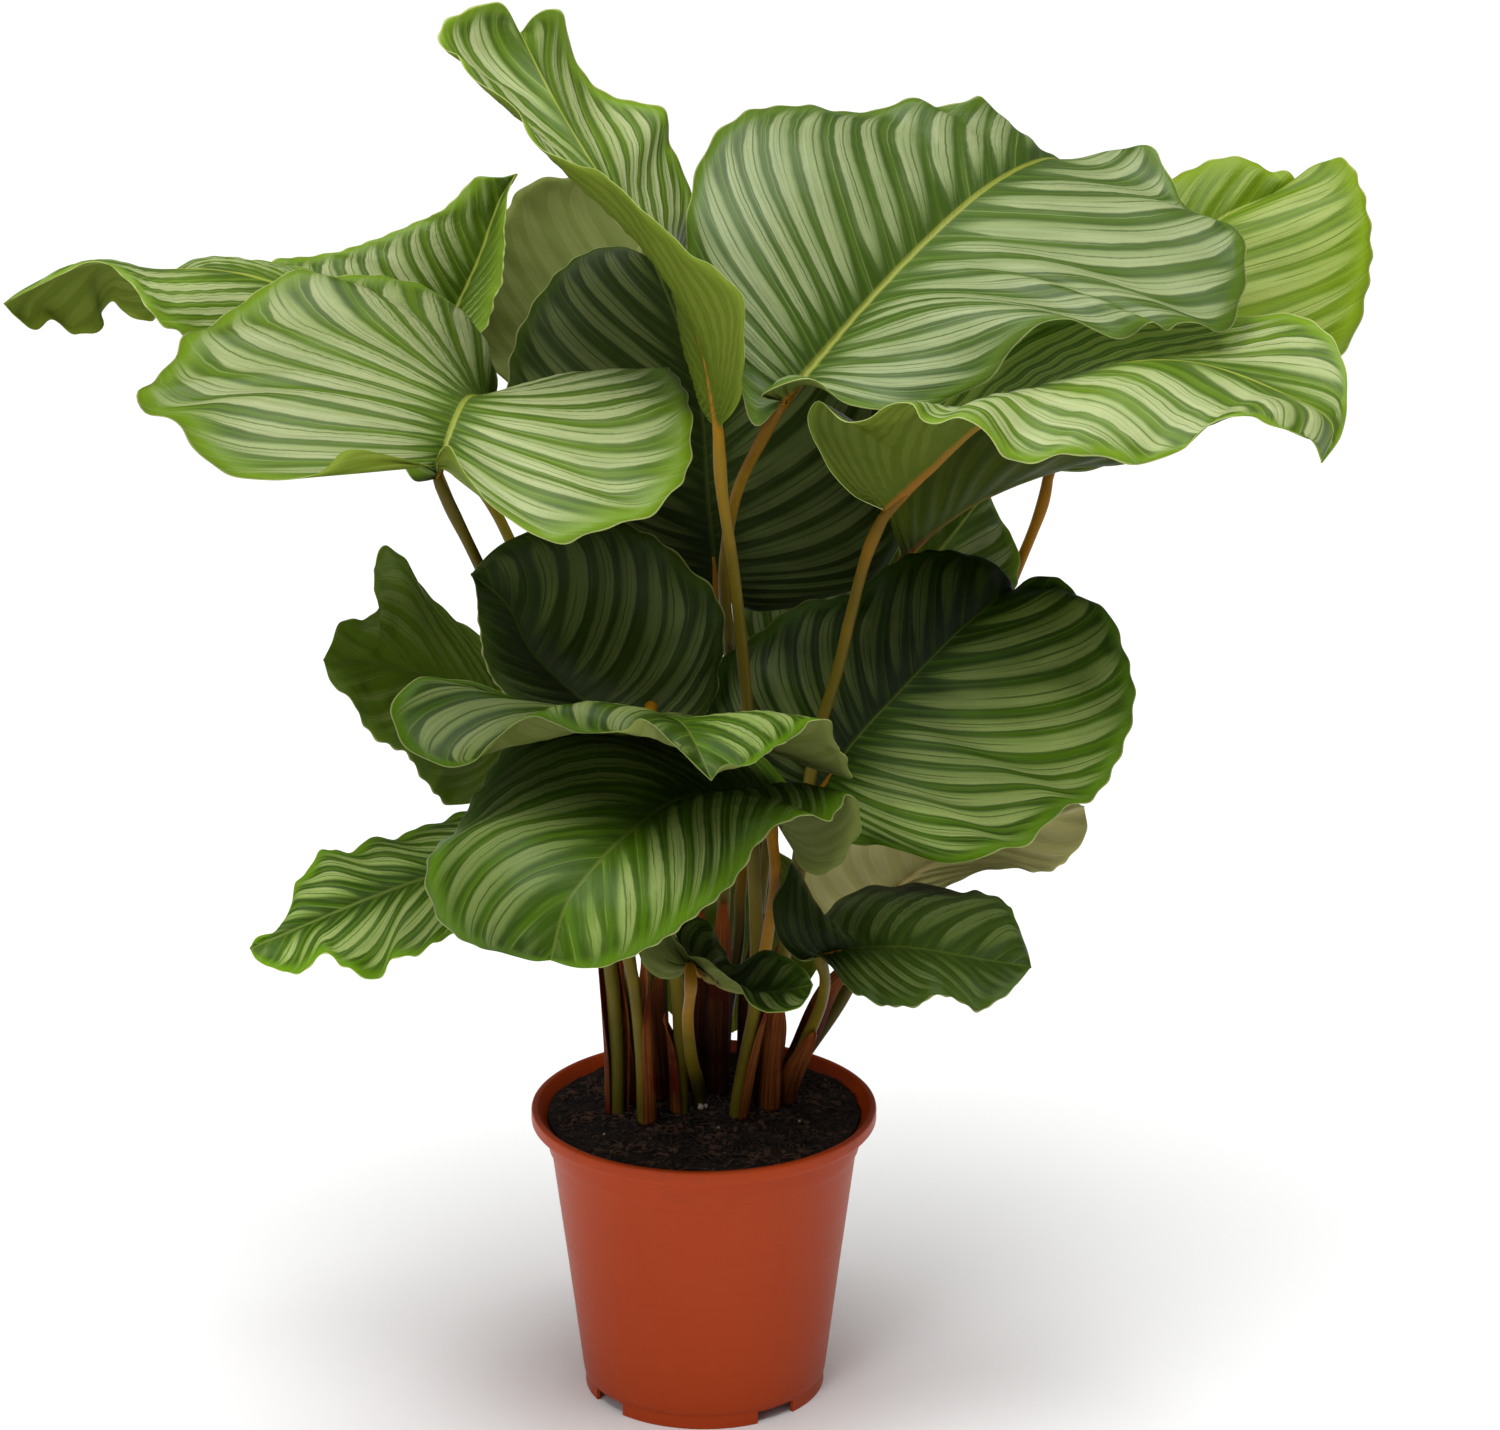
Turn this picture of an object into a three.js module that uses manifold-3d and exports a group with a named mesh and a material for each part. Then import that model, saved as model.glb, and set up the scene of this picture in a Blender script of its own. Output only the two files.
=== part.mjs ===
// A calathea with striped, rounded leaves in a terracotta-coloured nursery pot.
// Millimetres, +Z up, origin on the floor under the middle of the plant.
// The leaf blades and stalks follow points measured on the plant by hand; the pot is turned.
import * as THREE from "three";
import { mergeVertices } from "three/addons/utils/BufferGeometryUtils.js";
import Module from "manifold-3d";

// ---- Driving dimensions ----
const POT_HEIGHT = 183;
const RIM_RADIUS = 105;
const RIM_DEPTH = 9; // height of the rolled rim
const RIM_ROUND = 1.5;
const RIM_TOP = 3.5; // width of the rim's top
const RIM_CHAMFER = 7; // inside, the rim slopes down to the wall over this height
const BAND_RADIUS = 96.5; // outside of the wall right under the rim
const LEDGE_HEIGHT = 157; // a stacking ledge rings the wall here
const LEDGE_RADIUS = 94.5;
const LEDGE = 1.2; // the wall steps in by this much under the ledge
const FOOT_RADIUS = 73.5;
const FOOT_HEIGHT = 10;
const FOOT_STEP = 1; // the foot ring stands in from the wall by this much
const WALL = 2.2;
const BAND_THINNING = 1; // the wall is thinner by this much under the rim
const FLOOR_TOP = 13; // top of the raised pot floor
const POT_SIDES = 48;
const NOTCHES = 4; // drainage gaps in the foot ring
const NOTCH_START = -143; // degrees, the first gap's middle
const NOTCH_WIDTH = 27;
const NOTCH_HEIGHT = 8;
const NOTCH_DEPTH = 20;
const DRAIN_RADIUS = 6;
const DRAIN_RING = 45; // radius of the ring of drain holes
const DRAIN_SIDES = 10;

const SOIL_TOP = 174;
const SOIL_EDGE = 178; // height of the soil at the pot's wall
const SOIL_CROWN = 3; // the soil is this much higher in the middle
const SOIL_SLOPE_SHARE = 0.6;
const SOIL_SIDES = 32;
const HOLE_SIDES = 8;
const HOLE_CLEARANCE = 1.6; // round a stalk in the soil
const GAP = 0.35; // between the soil and the pot

const BLADE_THICKNESS = 0.8;
const MIDRIB_DEPTH = 1.6; // the midrib stands out under the blade
const BLADE_ROWS = 13; // steps from the stalk to the tip
const HALF_COLUMNS = 4; // steps from the midrib to the margin
const FULL_BOW_WIDTH = 100; // a vein this long arches by the whole of the leaf's bow

const STALK_FOOT_RADIUS = 4.6;
const STALK_TOP_RADIUS = 3.1;
const STALK_SIDES = 6;
const STALK_STEPS = 12;
const STALK_ROOT = 24; // length of a stalk below the soil
const STALK_END_GAP = 2.6; // free length between a stalk and its blade
const STALK_UPRIGHT = 7; // a stalk is upright this far above and below the soil

const SHEATH_THICKNESS = 1;
const SHEATH_TAPER = 0.88; // share of its width that a sheath loses towards its top
const SHEATH_POINTING = 2.5; // the higher, the later a sheath narrows on its way up
const SHEATH_FLARE = 2.2; // it stands off its stalk by this much more at the top
const SHEATH_OPENING = 3; // the higher, the later it opens on its way up
const SHEATH_LIFT = 1; // it starts this far above the soil
const SHEATH_STEPS = 5;
const SHEATH_COLUMNS = 6;

// ---- The leaves ----
// Points run from the stalk to the tip. A margin's own end points are the midrib's.
// left and right are the blade's sides as seen from the stalk, looking at its upper face.
// bow is the arch of the veins on each side, evenly spaced from the stalk to the tip.
// foot is where the stalk enters the soil.
const LEAVES = {
  upper_right: {
    midrib: [[47, -70, 644], [77, -35, 671], [118, 10, 706], [166, 70, 735], [204, 128, 740],
      [221, 155, 732]],
    left: [[32, -78, 631], [20, -62, 655], [0, -40, 690], [-9, -15, 734], [4, 20, 773],
      [15, 32, 783], [32, 47, 789], [57, 64, 785], [84, 82, 779], [102, 91, 777], [112, 96, 780],
      [127, 103, 782], [138, 108, 776], [151, 114, 777], [163, 120, 779], [172, 128, 771],
      [185, 137, 755], [202, 148, 739]],
    right: [[35, -100, 656], [60, -112, 670], [84, -100, 652], [127, -90, 645], [161, -82, 658],
      [186, -75, 688], [206, -68, 691], [239, -52, 677], [248, -47, 677], [257, -42, 682],
      [267, -36, 675], [274, -32, 678], [284, -26, 678], [302, -15, 672], [317, 25, 694],
      [315, 55, 712], [291, 85, 718], [279, 106, 732], [266, 125, 749], [251, 140, 742],
      [235, 150, 736]],
    stalk: [[35, -62, 620], [21, -50, 586], [13, -28, 531], [16, -4, 474], [17, 14, 399],
      [12, 27, 305]],
    bow: [[14, 14, 13, 6, -2], [14, 14, 12, 3, -4]], foot: [8, 32],
  },
  far_right: {
    midrib: [[209, 102, 554], [245, 114, 614], [281, 134, 668], [310, 145, 698], [338, 158, 708],
      [361, 165, 715]],
    left: [[197, 108, 572], [191, 120, 606], [216, 140, 657], [252, 155, 700], [286, 168, 721],
      [318, 172, 731], [334, 172, 728], [344, 170, 723], [354, 168, 724]],
    right: [[233, 95, 556], [280, 90, 577], [328, 88, 596], [363, 92, 616], [387, 98, 633],
      [397, 110, 658], [402, 130, 688], [397, 148, 717], [386, 158, 735], [374, 164, 727]],
    stalk: [[205, 100, 533], [188, 98, 487], [162, 94, 423], [129, 76, 332], [87, 56, 234]],
    bow: [[12], [12]], foot: [55, 52],
  },
  right_front: {
    midrib: [[106, -60, 576], [131, -62, 601], [161, -60, 629], [228, -50, 659], [279, -45, 661],
      [325, -50, 647], [359, -72, 631], [352, -88, 613]],
    left: [[96, -30, 588], [113, 5, 622], [151, 40, 646], [211, 58, 663], [281, 50, 665],
      [332, 30, 669], [353, 8, 672], [368, -18, 661], [371, -45, 638], [366, -62, 624]],
    right: [[85, -75, 592], [68, -88, 618], [61, -95, 643], [66, -98, 653], [81, -102, 643],
      [112, -126, 658], [119, -128, 658], [124, -128, 650], [133, -128, 646], [146, -128, 649],
      [156, -127, 646], [164, -127, 637], [171, -126, 629], [187, -125, 625], [204, -124, 629],
      [217, -123, 629], [231, -121, 624], [244, -120, 620], [256, -118, 624], [270, -115, 629],
      [279, -113, 638], [286, -112, 643], [298, -110, 647], [310, -108, 647], [320, -107, 641],
      [330, -105, 637], [345, -98, 629]],
    stalk: [[96, -56, 551], [87, -52, 514], [79, -50, 477], [70, -50, 445], [62, -50, 403],
      [55, -36, 342], [47, -16, 277]],
    bow: [[-8], [10]], foot: [40, 8],
  },
  right_inner: {
    midrib: [[119, 32, 521], [135, 38, 534], [160, 43, 551], [190, 47, 564], [219, 50, 572],
      [247, 53, 573], [271, 58, 576]],
    left: [[120, 48, 527], [136, 68, 546], [178, 76, 562], [219, 74, 575], [249, 70, 583],
      [266, 64, 584]],
    right: [[111, 22, 547], [107, 10, 577], [130, 3, 603], [163, 0, 616], [203, 4, 608],
      [239, 20, 597], [264, 45, 588]],
    stalk: [[113, 31, 504], [97, 36, 455], [78, 40, 384], [58, 42, 312]],
    bow: [[-10], [-10]], foot: [36, 40],
  },
  right_back: {
    midrib: [[52, 60, 409], [89, 78, 448], [131, 100, 489], [165, 122, 525], [173, 130, 535]],
    left: [[34, 66, 426], [18, 78, 454], [27, 95, 477], [71, 112, 495], [114, 126, 522],
      [150, 134, 539]],
    right: [[88, 54, 411], [137, 60, 428], [173, 72, 456], [190, 84, 490], [189, 94, 510],
      [179, 110, 524]],
    stalk: [[47, 60, 390], [40, 58, 339], [32, 56, 275]],
    bow: [[8], [8]], foot: [26, 56],
  },
  top: {
    midrib: [[10, -85, 633], [2, -78, 679], [-9, -70, 703], [-34, -48, 739], [-55, -28, 763],
      [-74, -5, 788], [-90, 18, 811], [-104, 38, 834]],
    left: [[20, -100, 650], [27, -112, 684], [21, -112, 719], [-5, -98, 739], [-31, -80, 759],
      [-49, -66, 771], [-66, -55, 774], [-86, -42, 782], [-102, -32, 803], [-110, -28, 809],
      [-126, -20, 815], [-134, -12, 822], [-138, -6, 829], [-146, -3, 832], [-149, 2, 837],
      [-148, 10, 844], [-140, 17, 849], [-115, 30, 854]],
    right: [[1, -62, 643], [-7, -15, 672], [-10, 20, 705], [-7, 45, 746], [-19, 52, 766],
      [-21, 58, 784], [-30, 60, 789], [-51, 62, 792], [-65, 62, 805], [-75, 61, 820],
      [-83, 58, 843], [-95, 48, 843]],
    stalk: [[12, -86, 597], [18, -80, 553], [23, -64, 500], [26, -56, 461], [28, -50, 422],
      [30, -38, 361], [32, -14, 282]],
    bow: [[-8], [-10]], foot: [28, 16],
  },
  far_left: {
    midrib: [[-181, 85, 618], [-215, 72, 655], [-248, 58, 680], [-285, 44, 693], [-322, 34, 696],
      [-351, 22, 704], [-377, 10, 698], [-403, -5, 685]],
    left: [[-198, 68, 607], [-237, 45, 626], [-270, 18, 645], [-301, -8, 668], [-312, -14, 676],
      [-319, -14, 684], [-329, -5, 697], [-348, 8, 706], [-370, 2, 700]],
    right: [[-171, 120, 628], [-212, 112, 664], [-252, 102, 681], [-289, 92, 688], [-315, 82, 680],
      [-326, 66, 658], [-342, 55, 666], [-347, 50, 674], [-353, 44, 667], [-351, 38, 660],
      [-366, 30, 657], [-380, 18, 670], [-387, 12, 665], [-397, 2, 675]],
    stalk: [[-171, 82, 588], [-160, 76, 562], [-149, 70, 536], [-130, 60, 497], [-99, 50, 425],
      [-63, 40, 333]],
    bow: [[10], [12]], foot: [-42, 36],
  },
  left_back: {
    midrib: [[-182, 145, 586], [-158, 158, 627], [-138, 170, 667], [-124, 182, 703],
      [-114, 187, 718]],
    left: [[-203, 140, 588], [-238, 132, 621], [-262, 125, 660], [-262, 127, 677],
      [-237, 138, 678], [-214, 148, 681], [-184, 158, 690], [-160, 166, 700], [-147, 174, 711],
      [-139, 178, 718], [-125, 184, 716]],
    right: [[-161, 138, 588], [-142, 134, 611], [-134, 134, 630], [-125, 143, 653],
      [-121, 156, 678], [-120, 175, 707]],
    stalk: [[-165, 146, 561], [-143, 130, 543], [-128, 124, 523], [-117, 118, 502],
      [-88, 104, 439], [-52, 82, 350], [-30, 64, 265]],
    bow: [[10], [6]], foot: [-26, 52],
  },
  left_front: {
    midrib: [[-149, -100, 608], [-143, -88, 627], [-136, -55, 639], [-129, 0, 628],
      [-123, 50, 609]],
    left: [[-160, -115, 610], [-170, -130, 627], [-195, -145, 636], [-214, -155, 626],
      [-247, -145, 620], [-277, -125, 625], [-297, -102, 645], [-315, -88, 645], [-318, -80, 652],
      [-311, -68, 653], [-301, -52, 664], [-296, -40, 674], [-281, -26, 678], [-266, -12, 686],
      [-239, 6, 701], [-216, 18, 693], [-182, 32, 692], [-154, 44, 679], [-134, 52, 648],
      [-126, 55, 620]],
    right: [[-145, -125, 630], [-138, -135, 636], [-128, -148, 622], [-111, -155, 604],
      [-78, -155, 587], [-49, -145, 593], [-25, -130, 596], [-7, -105, 614], [-5, -75, 635],
      [-10, -42, 646], [-22, -12, 648], [-43, 8, 635], [-66, 22, 622], [-96, 35, 610]],
    stalk: [[-141, -96, 588], [-131, -88, 563], [-122, -78, 538], [-100, -50, 471],
      [-75, -28, 389], [-62, -6, 318], [-56, -2, 271], [-53, 0, 225]],
    bow: [[16], [5]], foot: [-53, 1],
  },
  centre_back: {
    midrib: [[9, 30, 496], [3, 50, 551], [-2, 75, 606], [-16, 95, 650], [-31, 112, 683]],
    left: [[-14, 38, 487], [-56, 48, 495], [-93, 60, 535], [-116, 75, 593], [-114, 86, 633],
      [-94, 98, 670], [-71, 108, 688], [-50, 112, 691]],
    right: [[34, 28, 488], [76, 34, 495], [109, 50, 506], [121, 66, 534], [123, 76, 574],
      [109, 86, 609], [76, 96, 643], [28, 106, 674], [-8, 113, 687]],
    stalk: [[8, 30, 470], [5, 34, 405], [0, 38, 333], [-4, 40, 261]],
    bow: [[10], [10]], foot: [-6, 38],
  },
  lower_right: {
    midrib: [[65, -40, 393], [87, -30, 424], [119, -15, 456], [152, 0, 486], [176, 15, 501],
      [185, 28, 501]],
    left: [[50, -32, 389], [25, -29, 399], [6, -27, 420], [1, -25, 443], [6, -20, 464],
      [16, -16, 477], [27, -12, 483], [34, -10, 488], [43, -7, 495], [59, -4, 504], [77, -1, 506],
      [88, 2, 508], [104, 8, 519], [120, 15, 527], [137, 20, 529], [155, 24, 527], [172, 27, 520],
      [180, 28, 510]],
    right: [[78, -50, 373], [109, -65, 373], [136, -75, 368], [155, -78, 368], [174, -75, 375],
      [189, -72, 376], [213, -60, 396], [229, -50, 397], [246, -35, 420], [255, -15, 447],
      [252, -5, 465], [240, 10, 494], [222, 18, 501], [211, 22, 511], [196, 27, 504]],
    stalk: [[61, -26, 366], [56, -8, 325], [45, 10, 266]],
    bow: [[12], [12]], foot: [26, 34],
  },
  centre_left: {
    midrib: [[-49, -52, 446], [-63, -60, 458], [-82, -72, 478], [-99, -86, 503], [-111, -98, 533],
      [-130, -106, 553]],
    left: [[-59, -56, 442], [-85, -66, 447], [-105, -82, 465], [-122, -100, 494],
      [-126, -110, 524], [-127, -112, 545]],
    right: [[-10, -44, 438], [5, -42, 451], [11, -44, 478], [13, -48, 508], [7, -54, 527],
      [-7, -60, 543], [-24, -68, 562], [-46, -78, 575], [-74, -88, 578], [-101, -98, 575],
      [-117, -105, 567]],
    stalk: [[-44, -38, 424], [-37, -28, 389], [-32, -16, 341], [-30, -4, 298], [-31, 8, 248]],
    bow: [[10], [14]], foot: [-28, 24],
  },
  low_front: {
    midrib: [[40, -90, 404], [14, -118, 423], [-12, -150, 433], [-46, -200, 425], [-62, -225, 415],
      [-74, -240, 402], [-82, -252, 375]],
    left: [[52, -102, 387], [58, -108, 375], [72, -118, 376], [85, -124, 393], [92, -124, 411],
      [85, -120, 426], [73, -150, 420], [54, -170, 431], [39, -185, 428], [20, -205, 405],
      [0, -225, 393], [-22, -240, 381], [-55, -250, 370], [-70, -252, 371]],
    right: [[51, -74, 412], [37, -68, 428], [-1, -72, 443], [-47, -80, 448], [-81, -97, 450],
      [-106, -118, 457], [-125, -142, 439], [-137, -162, 419], [-150, -185, 414],
      [-153, -205, 402], [-144, -222, 386], [-127, -235, 378], [-105, -246, 376], [-91, -251, 374]],
    stalk: [[41, -84, 386], [43, -66, 356], [39, -46, 314], [32, -24, 260]],
    bow: [[10], [16]], foot: [20, -6],
  },
  mid_front: {
    midrib: [[-30, -100, 466], [-23, -130, 476], [-16, -165, 487], [-5, -212, 493], [7, -240, 476]],
    left: [[-12, -96, 466], [8, -90, 458], [34, -88, 442], [66, -92, 431], [85, -112, 430],
      [77, -140, 465], [68, -160, 486], [54, -185, 485], [41, -205, 482], [27, -222, 478],
      [14, -232, 482]],
    right: [[-46, -108, 469], [-80, -124, 473], [-97, -128, 475], [-103, -130, 486],
      [-113, -132, 493], [-126, -134, 499], [-141, -137, 502], [-156, -141, 502],
      [-168, -147, 496], [-174, -154, 486], [-167, -164, 472], [-157, -170, 466],
      [-140, -178, 463], [-125, -184, 470], [-108, -192, 484], [-93, -198, 498], [-65, -210, 494],
      [-42, -218, 499], [-31, -220, 506], [-15, -230, 495], [-3, -236, 485]],
    stalk: [[-29, -82, 465], [-28, -62, 448], [-27, -54, 423], [-24, -44, 363], [-20, -32, 308],
      [-15, -16, 257]],
    bow: [[5], [-10, -16, -12, -3, 0, 15, 12, 0, 0]], foot: [-14, 4],
  },
  left_mid: {
    midrib: [[-110, 25, 408], [-139, 18, 436], [-168, 8, 455], [-196, -5, 467], [-223, -15, 472]],
    left: [[-118, 5, 393], [-144, -5, 377], [-162, -15, 391], [-175, -20, 415], [-195, -22, 426],
      [-206, -22, 448], [-218, -18, 458]],
    right: [[-110, 35, 437], [-133, 38, 469], [-153, 42, 484], [-169, 48, 498], [-188, 52, 523],
      [-196, 38, 511], [-195, 28, 502], [-191, 22, 495], [-200, 15, 488], [-214, 5, 489],
      [-219, -8, 479]],
    stalk: [[-93, 24, 391], [-67, 20, 346], [-52, 18, 305], [-45, 18, 270]],
    bow: [[10], [10]], foot: [-41, 20],
  },
  low_left: {
    midrib: [[-85, -30, 351], [-120, -36, 353], [-158, -46, 348], [-194, -58, 339],
      [-229, -68, 327], [-265, -82, 316]],
    left: [[-96, -50, 334], [-125, -70, 326], [-146, -80, 324], [-167, -90, 314], [-180, -92, 315],
      [-189, -96, 303], [-210, -96, 310], [-219, -93, 317], [-235, -93, 305], [-260, -87, 310]],
    right: [[-97, -12, 364], [-127, -6, 374], [-145, -6, 373], [-168, -12, 366], [-180, -18, 361],
      [-198, -25, 364], [-206, -32, 358], [-225, -38, 361], [-232, -46, 353], [-240, -52, 346],
      [-242, -60, 335], [-249, -70, 323], [-261, -79, 322]],
    stalk: [[-70, -27, 340], [-54, -22, 312], [-44, -18, 281], [-38, -15, 231]],
    bow: [[10], [10]], foot: [-36, -13],
  },
  low_right: {
    midrib: [[68, -75, 309], [87, -85, 317], [115, -105, 326], [141, -125, 330], [166, -140, 331],
      [189, -152, 332]],
    left: [[56, -92, 314], [44, -90, 326], [41, -86, 342], [47, -78, 356], [54, -64, 363],
      [61, -50, 344], [65, -40, 321], [80, -35, 329], [100, -32, 335], [124, -38, 340],
      [147, -52, 343], [176, -82, 345], [183, -108, 341], [188, -132, 334]],
    right: [[76, -95, 309], [83, -115, 306], [94, -130, 304], [118, -146, 305], [128, -150, 309],
      [138, -150, 314], [153, -162, 311], [158, -166, 310], [171, -166, 317], [182, -160, 326]],
    stalk: [[72, -66, 293], [71, -48, 270], [62, -18, 232]],
    bow: [[8], [10]], foot: [50, 18],
  },
  low_right_back: {
    midrib: [[99, 10, 295], [121, 12, 322], [154, 16, 340], [191, 24, 353], [230, 36, 362]],
    left: [[106, 5, 292], [136, -2, 315], [156, -4, 332], [185, 2, 335], [206, 8, 330],
      [219, 16, 335], [231, 26, 349]],
    right: [[82, 14, 291], [62, 16, 293], [60, 22, 320], [70, 26, 341], [100, 30, 356],
      [143, 32, 368], [191, 36, 369], [218, 38, 367]],
    stalk: [[97, 20, 278], [77, 20, 253], [62, 28, 213]],
    bow: [[6], [6]], foot: [50, 34],
  },
  low_centre: {
    midrib: [[-7, -132, 326], [1, -123, 315], [19, -114, 303], [43, -118, 303], [64, -127, 311]],
    left: [[-11, -106, 321], [-16, -98, 331], [-12, -88, 339], [1, -84, 338], [11, -86, 320],
      [17, -90, 311], [25, -88, 312], [34, -88, 317], [47, -98, 318], [60, -115, 315]],
    right: [[-12, -124, 316], [-23, -118, 312], [-33, -114, 319], [-35, -110, 330],
      [-30, -107, 337], [-22, -107, 340], [-12, -117, 332], [-7, -124, 328], [-1, -129, 329],
      [7, -134, 328], [13, -138, 322], [21, -142, 316], [30, -148, 308], [41, -152, 305],
      [54, -150, 305], [61, -140, 308]],
    stalk: [[-6, -140, 316], [-8, -122, 290], [-7, -70, 244]],
    bow: [[-2], [-4]], foot: [-3, 16],
  },
  low_back: {
    midrib: [[23, 78, 329], [21, 104, 293], [19, 128, 250], [17, 144, 207], [17, 152, 168]],
    left: [[-1, 84, 318], [-27, 102, 290], [-40, 118, 254], [-39, 134, 214], [-20, 148, 181]],
    right: [[39, 84, 320], [62, 102, 295], [73, 118, 261], [71, 134, 221], [52, 148, 185]],
    stalk: [[24, 64, 316], [22, 58, 293], [21, 57, 268]],
    bow: [[6], [6]], foot: [8, 60],
  },
  centre_rear: {
    midrib: [[-52, 174, 566], [-49, 196, 617], [-40, 221, 662], [-31, 246, 688]],
    left: [[-24, 168, 561], [10, 178, 577], [34, 195, 611], [37, 212, 651], [19, 236, 681],
      [-6, 246, 691]],
    right: [[-70, 168, 564], [-101, 172, 573], [-126, 180, 592], [-138, 188, 607],
      [-137, 198, 642], [-126, 221, 681], [-108, 234, 702], [-71, 244, 701], [-47, 247, 695]],
    stalk: [[-45, 160, 531], [-34, 138, 461], [-23, 108, 373], [-15, 78, 286]],
    bow: [[8], [8]], foot: [-10, 56],
  },
};

// ---- The papery sheaths that clasp the stalks low down ----
// turn is where the sheath faces, in degrees from the viewer's right; wrap is how far it goes round.
const SHEATHS = [
  { leaf: "left_front", length: 120, inside: 6.8, turn: 110, wrap: 250 },
  { leaf: "low_left", length: 112, inside: 6.6, turn: 20, wrap: 230 },
  { leaf: "centre_left", length: 100, inside: 6.4, turn: -60, wrap: 170 },
  { leaf: "mid_front", length: 70, inside: 6.4, turn: 170, wrap: 200 },
  { leaf: "low_front", length: 120, inside: 6.8, turn: 20, wrap: 200 },
  { leaf: "top", length: 100, inside: 6.8, turn: 30, wrap: 180 },
  { leaf: "right_front", length: 90, inside: 6.6, turn: -95, wrap: 150 },
  { leaf: "low_right_back", length: 120, inside: 6.8, turn: -90, wrap: 200 },
  { leaf: "upper_right", length: 130, inside: 6.6, turn: -90, wrap: 200 },
  { leaf: "centre_back", length: 120, inside: 6.6, turn: -90, wrap: 200 },
  { leaf: "lower_right", length: 140, inside: 6.6, turn: -90, wrap: 200 },
  { leaf: "far_left", length: 90, inside: 6.6, turn: -90, wrap: 200 },
  { leaf: "left_mid", length: 80, inside: 6.6, turn: 170, wrap: 200 },
  { leaf: "right_back", length: 110, inside: 6.6, turn: -70, wrap: 200 },
  { leaf: "low_right", length: 84, inside: 6.2, turn: -80, wrap: 170 },
];

const wasm = await Module();
wasm.setup();

const TERRACOTTA = { color: 0xa8472a, roughness: 0.45, metalness: 0 };
const SOIL_BROWN = { color: 0x2b201a, roughness: 0.95, metalness: 0 };
const LEAF_GREEN = { color: 0x5f8440, roughness: 0.45, metalness: 0 };
const STALK_OLIVE = { color: 0x8a7a3e, roughness: 0.5, metalness: 0 };
const SHEATH_MAROON = { color: 0x6b3a22, roughness: 0.7, metalness: 0 };

const vector = ([x, y, z]) => new THREE.Vector3(x, y, z);

function meshOf(name, geometry, look) {
  const mesh = new THREE.Mesh(geometry, new THREE.MeshStandardMaterial(look));
  mesh.name = name;
  return mesh;
}

function geometryOf(points, faces) {
  const geometry = new THREE.BufferGeometry().setFromPoints(points);
  geometry.setIndex(faces);
  geometry.computeVertexNormals();
  return geometry;
}

// ---- Cutting and joining ----
function solidOf(geometry) {
  const bare = geometry.clone();
  bare.deleteAttribute("normal");
  bare.deleteAttribute("uv");
  const merged = mergeVertices(bare, 1e-3);
  return new wasm.Manifold(
    new wasm.Mesh({
      numProp: 3,
      vertProperties: new Float32Array(merged.attributes.position.array),
      triVerts: new Uint32Array(merged.index.array),
    }),
  );
}

function geometryOfSolid(solid) {
  const mesh = solid.getMesh();
  const geometry = new THREE.BufferGeometry();
  geometry.setAttribute("position", new THREE.BufferAttribute(mesh.vertProperties, 3));
  geometry.setIndex(new THREE.BufferAttribute(mesh.triVerts, 1));
  geometry.computeVertexNormals();
  return geometry;
}

function uprightCylinder(radius, bottom, top, x, y, sides) {
  const cylinder = new THREE.CylinderGeometry(radius, radius, top - bottom, sides);
  cylinder.rotateX(Math.PI / 2);
  cylinder.translate(x, y, (bottom + top) / 2);
  return solidOf(cylinder);
}

// A lathe profile of [radius, height] pairs, turned about the upright axis.
function turned(profile, sides) {
  const lathe = new THREE.LatheGeometry(profile.map(([r, z]) => new THREE.Vector2(r, z)), sides);
  lathe.rotateX(Math.PI / 2);
  return solidOf(lathe);
}

// ---- Pot ----
// Radius of the wall's outside between the foot ring and the stacking ledge.
function outerRadius(height) {
  const share = (height - FOOT_HEIGHT) / (LEDGE_HEIGHT - FOOT_HEIGHT);
  return THREE.MathUtils.lerp(FOOT_RADIUS + FOOT_STEP, LEDGE_RADIUS - LEDGE, share);
}

// Radius of the wall's inside, up to the chamfer under the rim.
function innerRadius(height) {
  if (height > LEDGE_HEIGHT) {
    const share = (height - LEDGE_HEIGHT) / (POT_HEIGHT - RIM_CHAMFER - LEDGE_HEIGHT);
    return THREE.MathUtils.lerp(LEDGE_RADIUS - WALL, BAND_RADIUS - WALL + BAND_THINNING, share);
  }
  const share = (height - FLOOR_TOP) / (LEDGE_HEIGHT - FLOOR_TOP);
  return THREE.MathUtils.lerp(outerRadius(FLOOR_TOP) - WALL, LEDGE_RADIUS - WALL, share);
}

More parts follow.
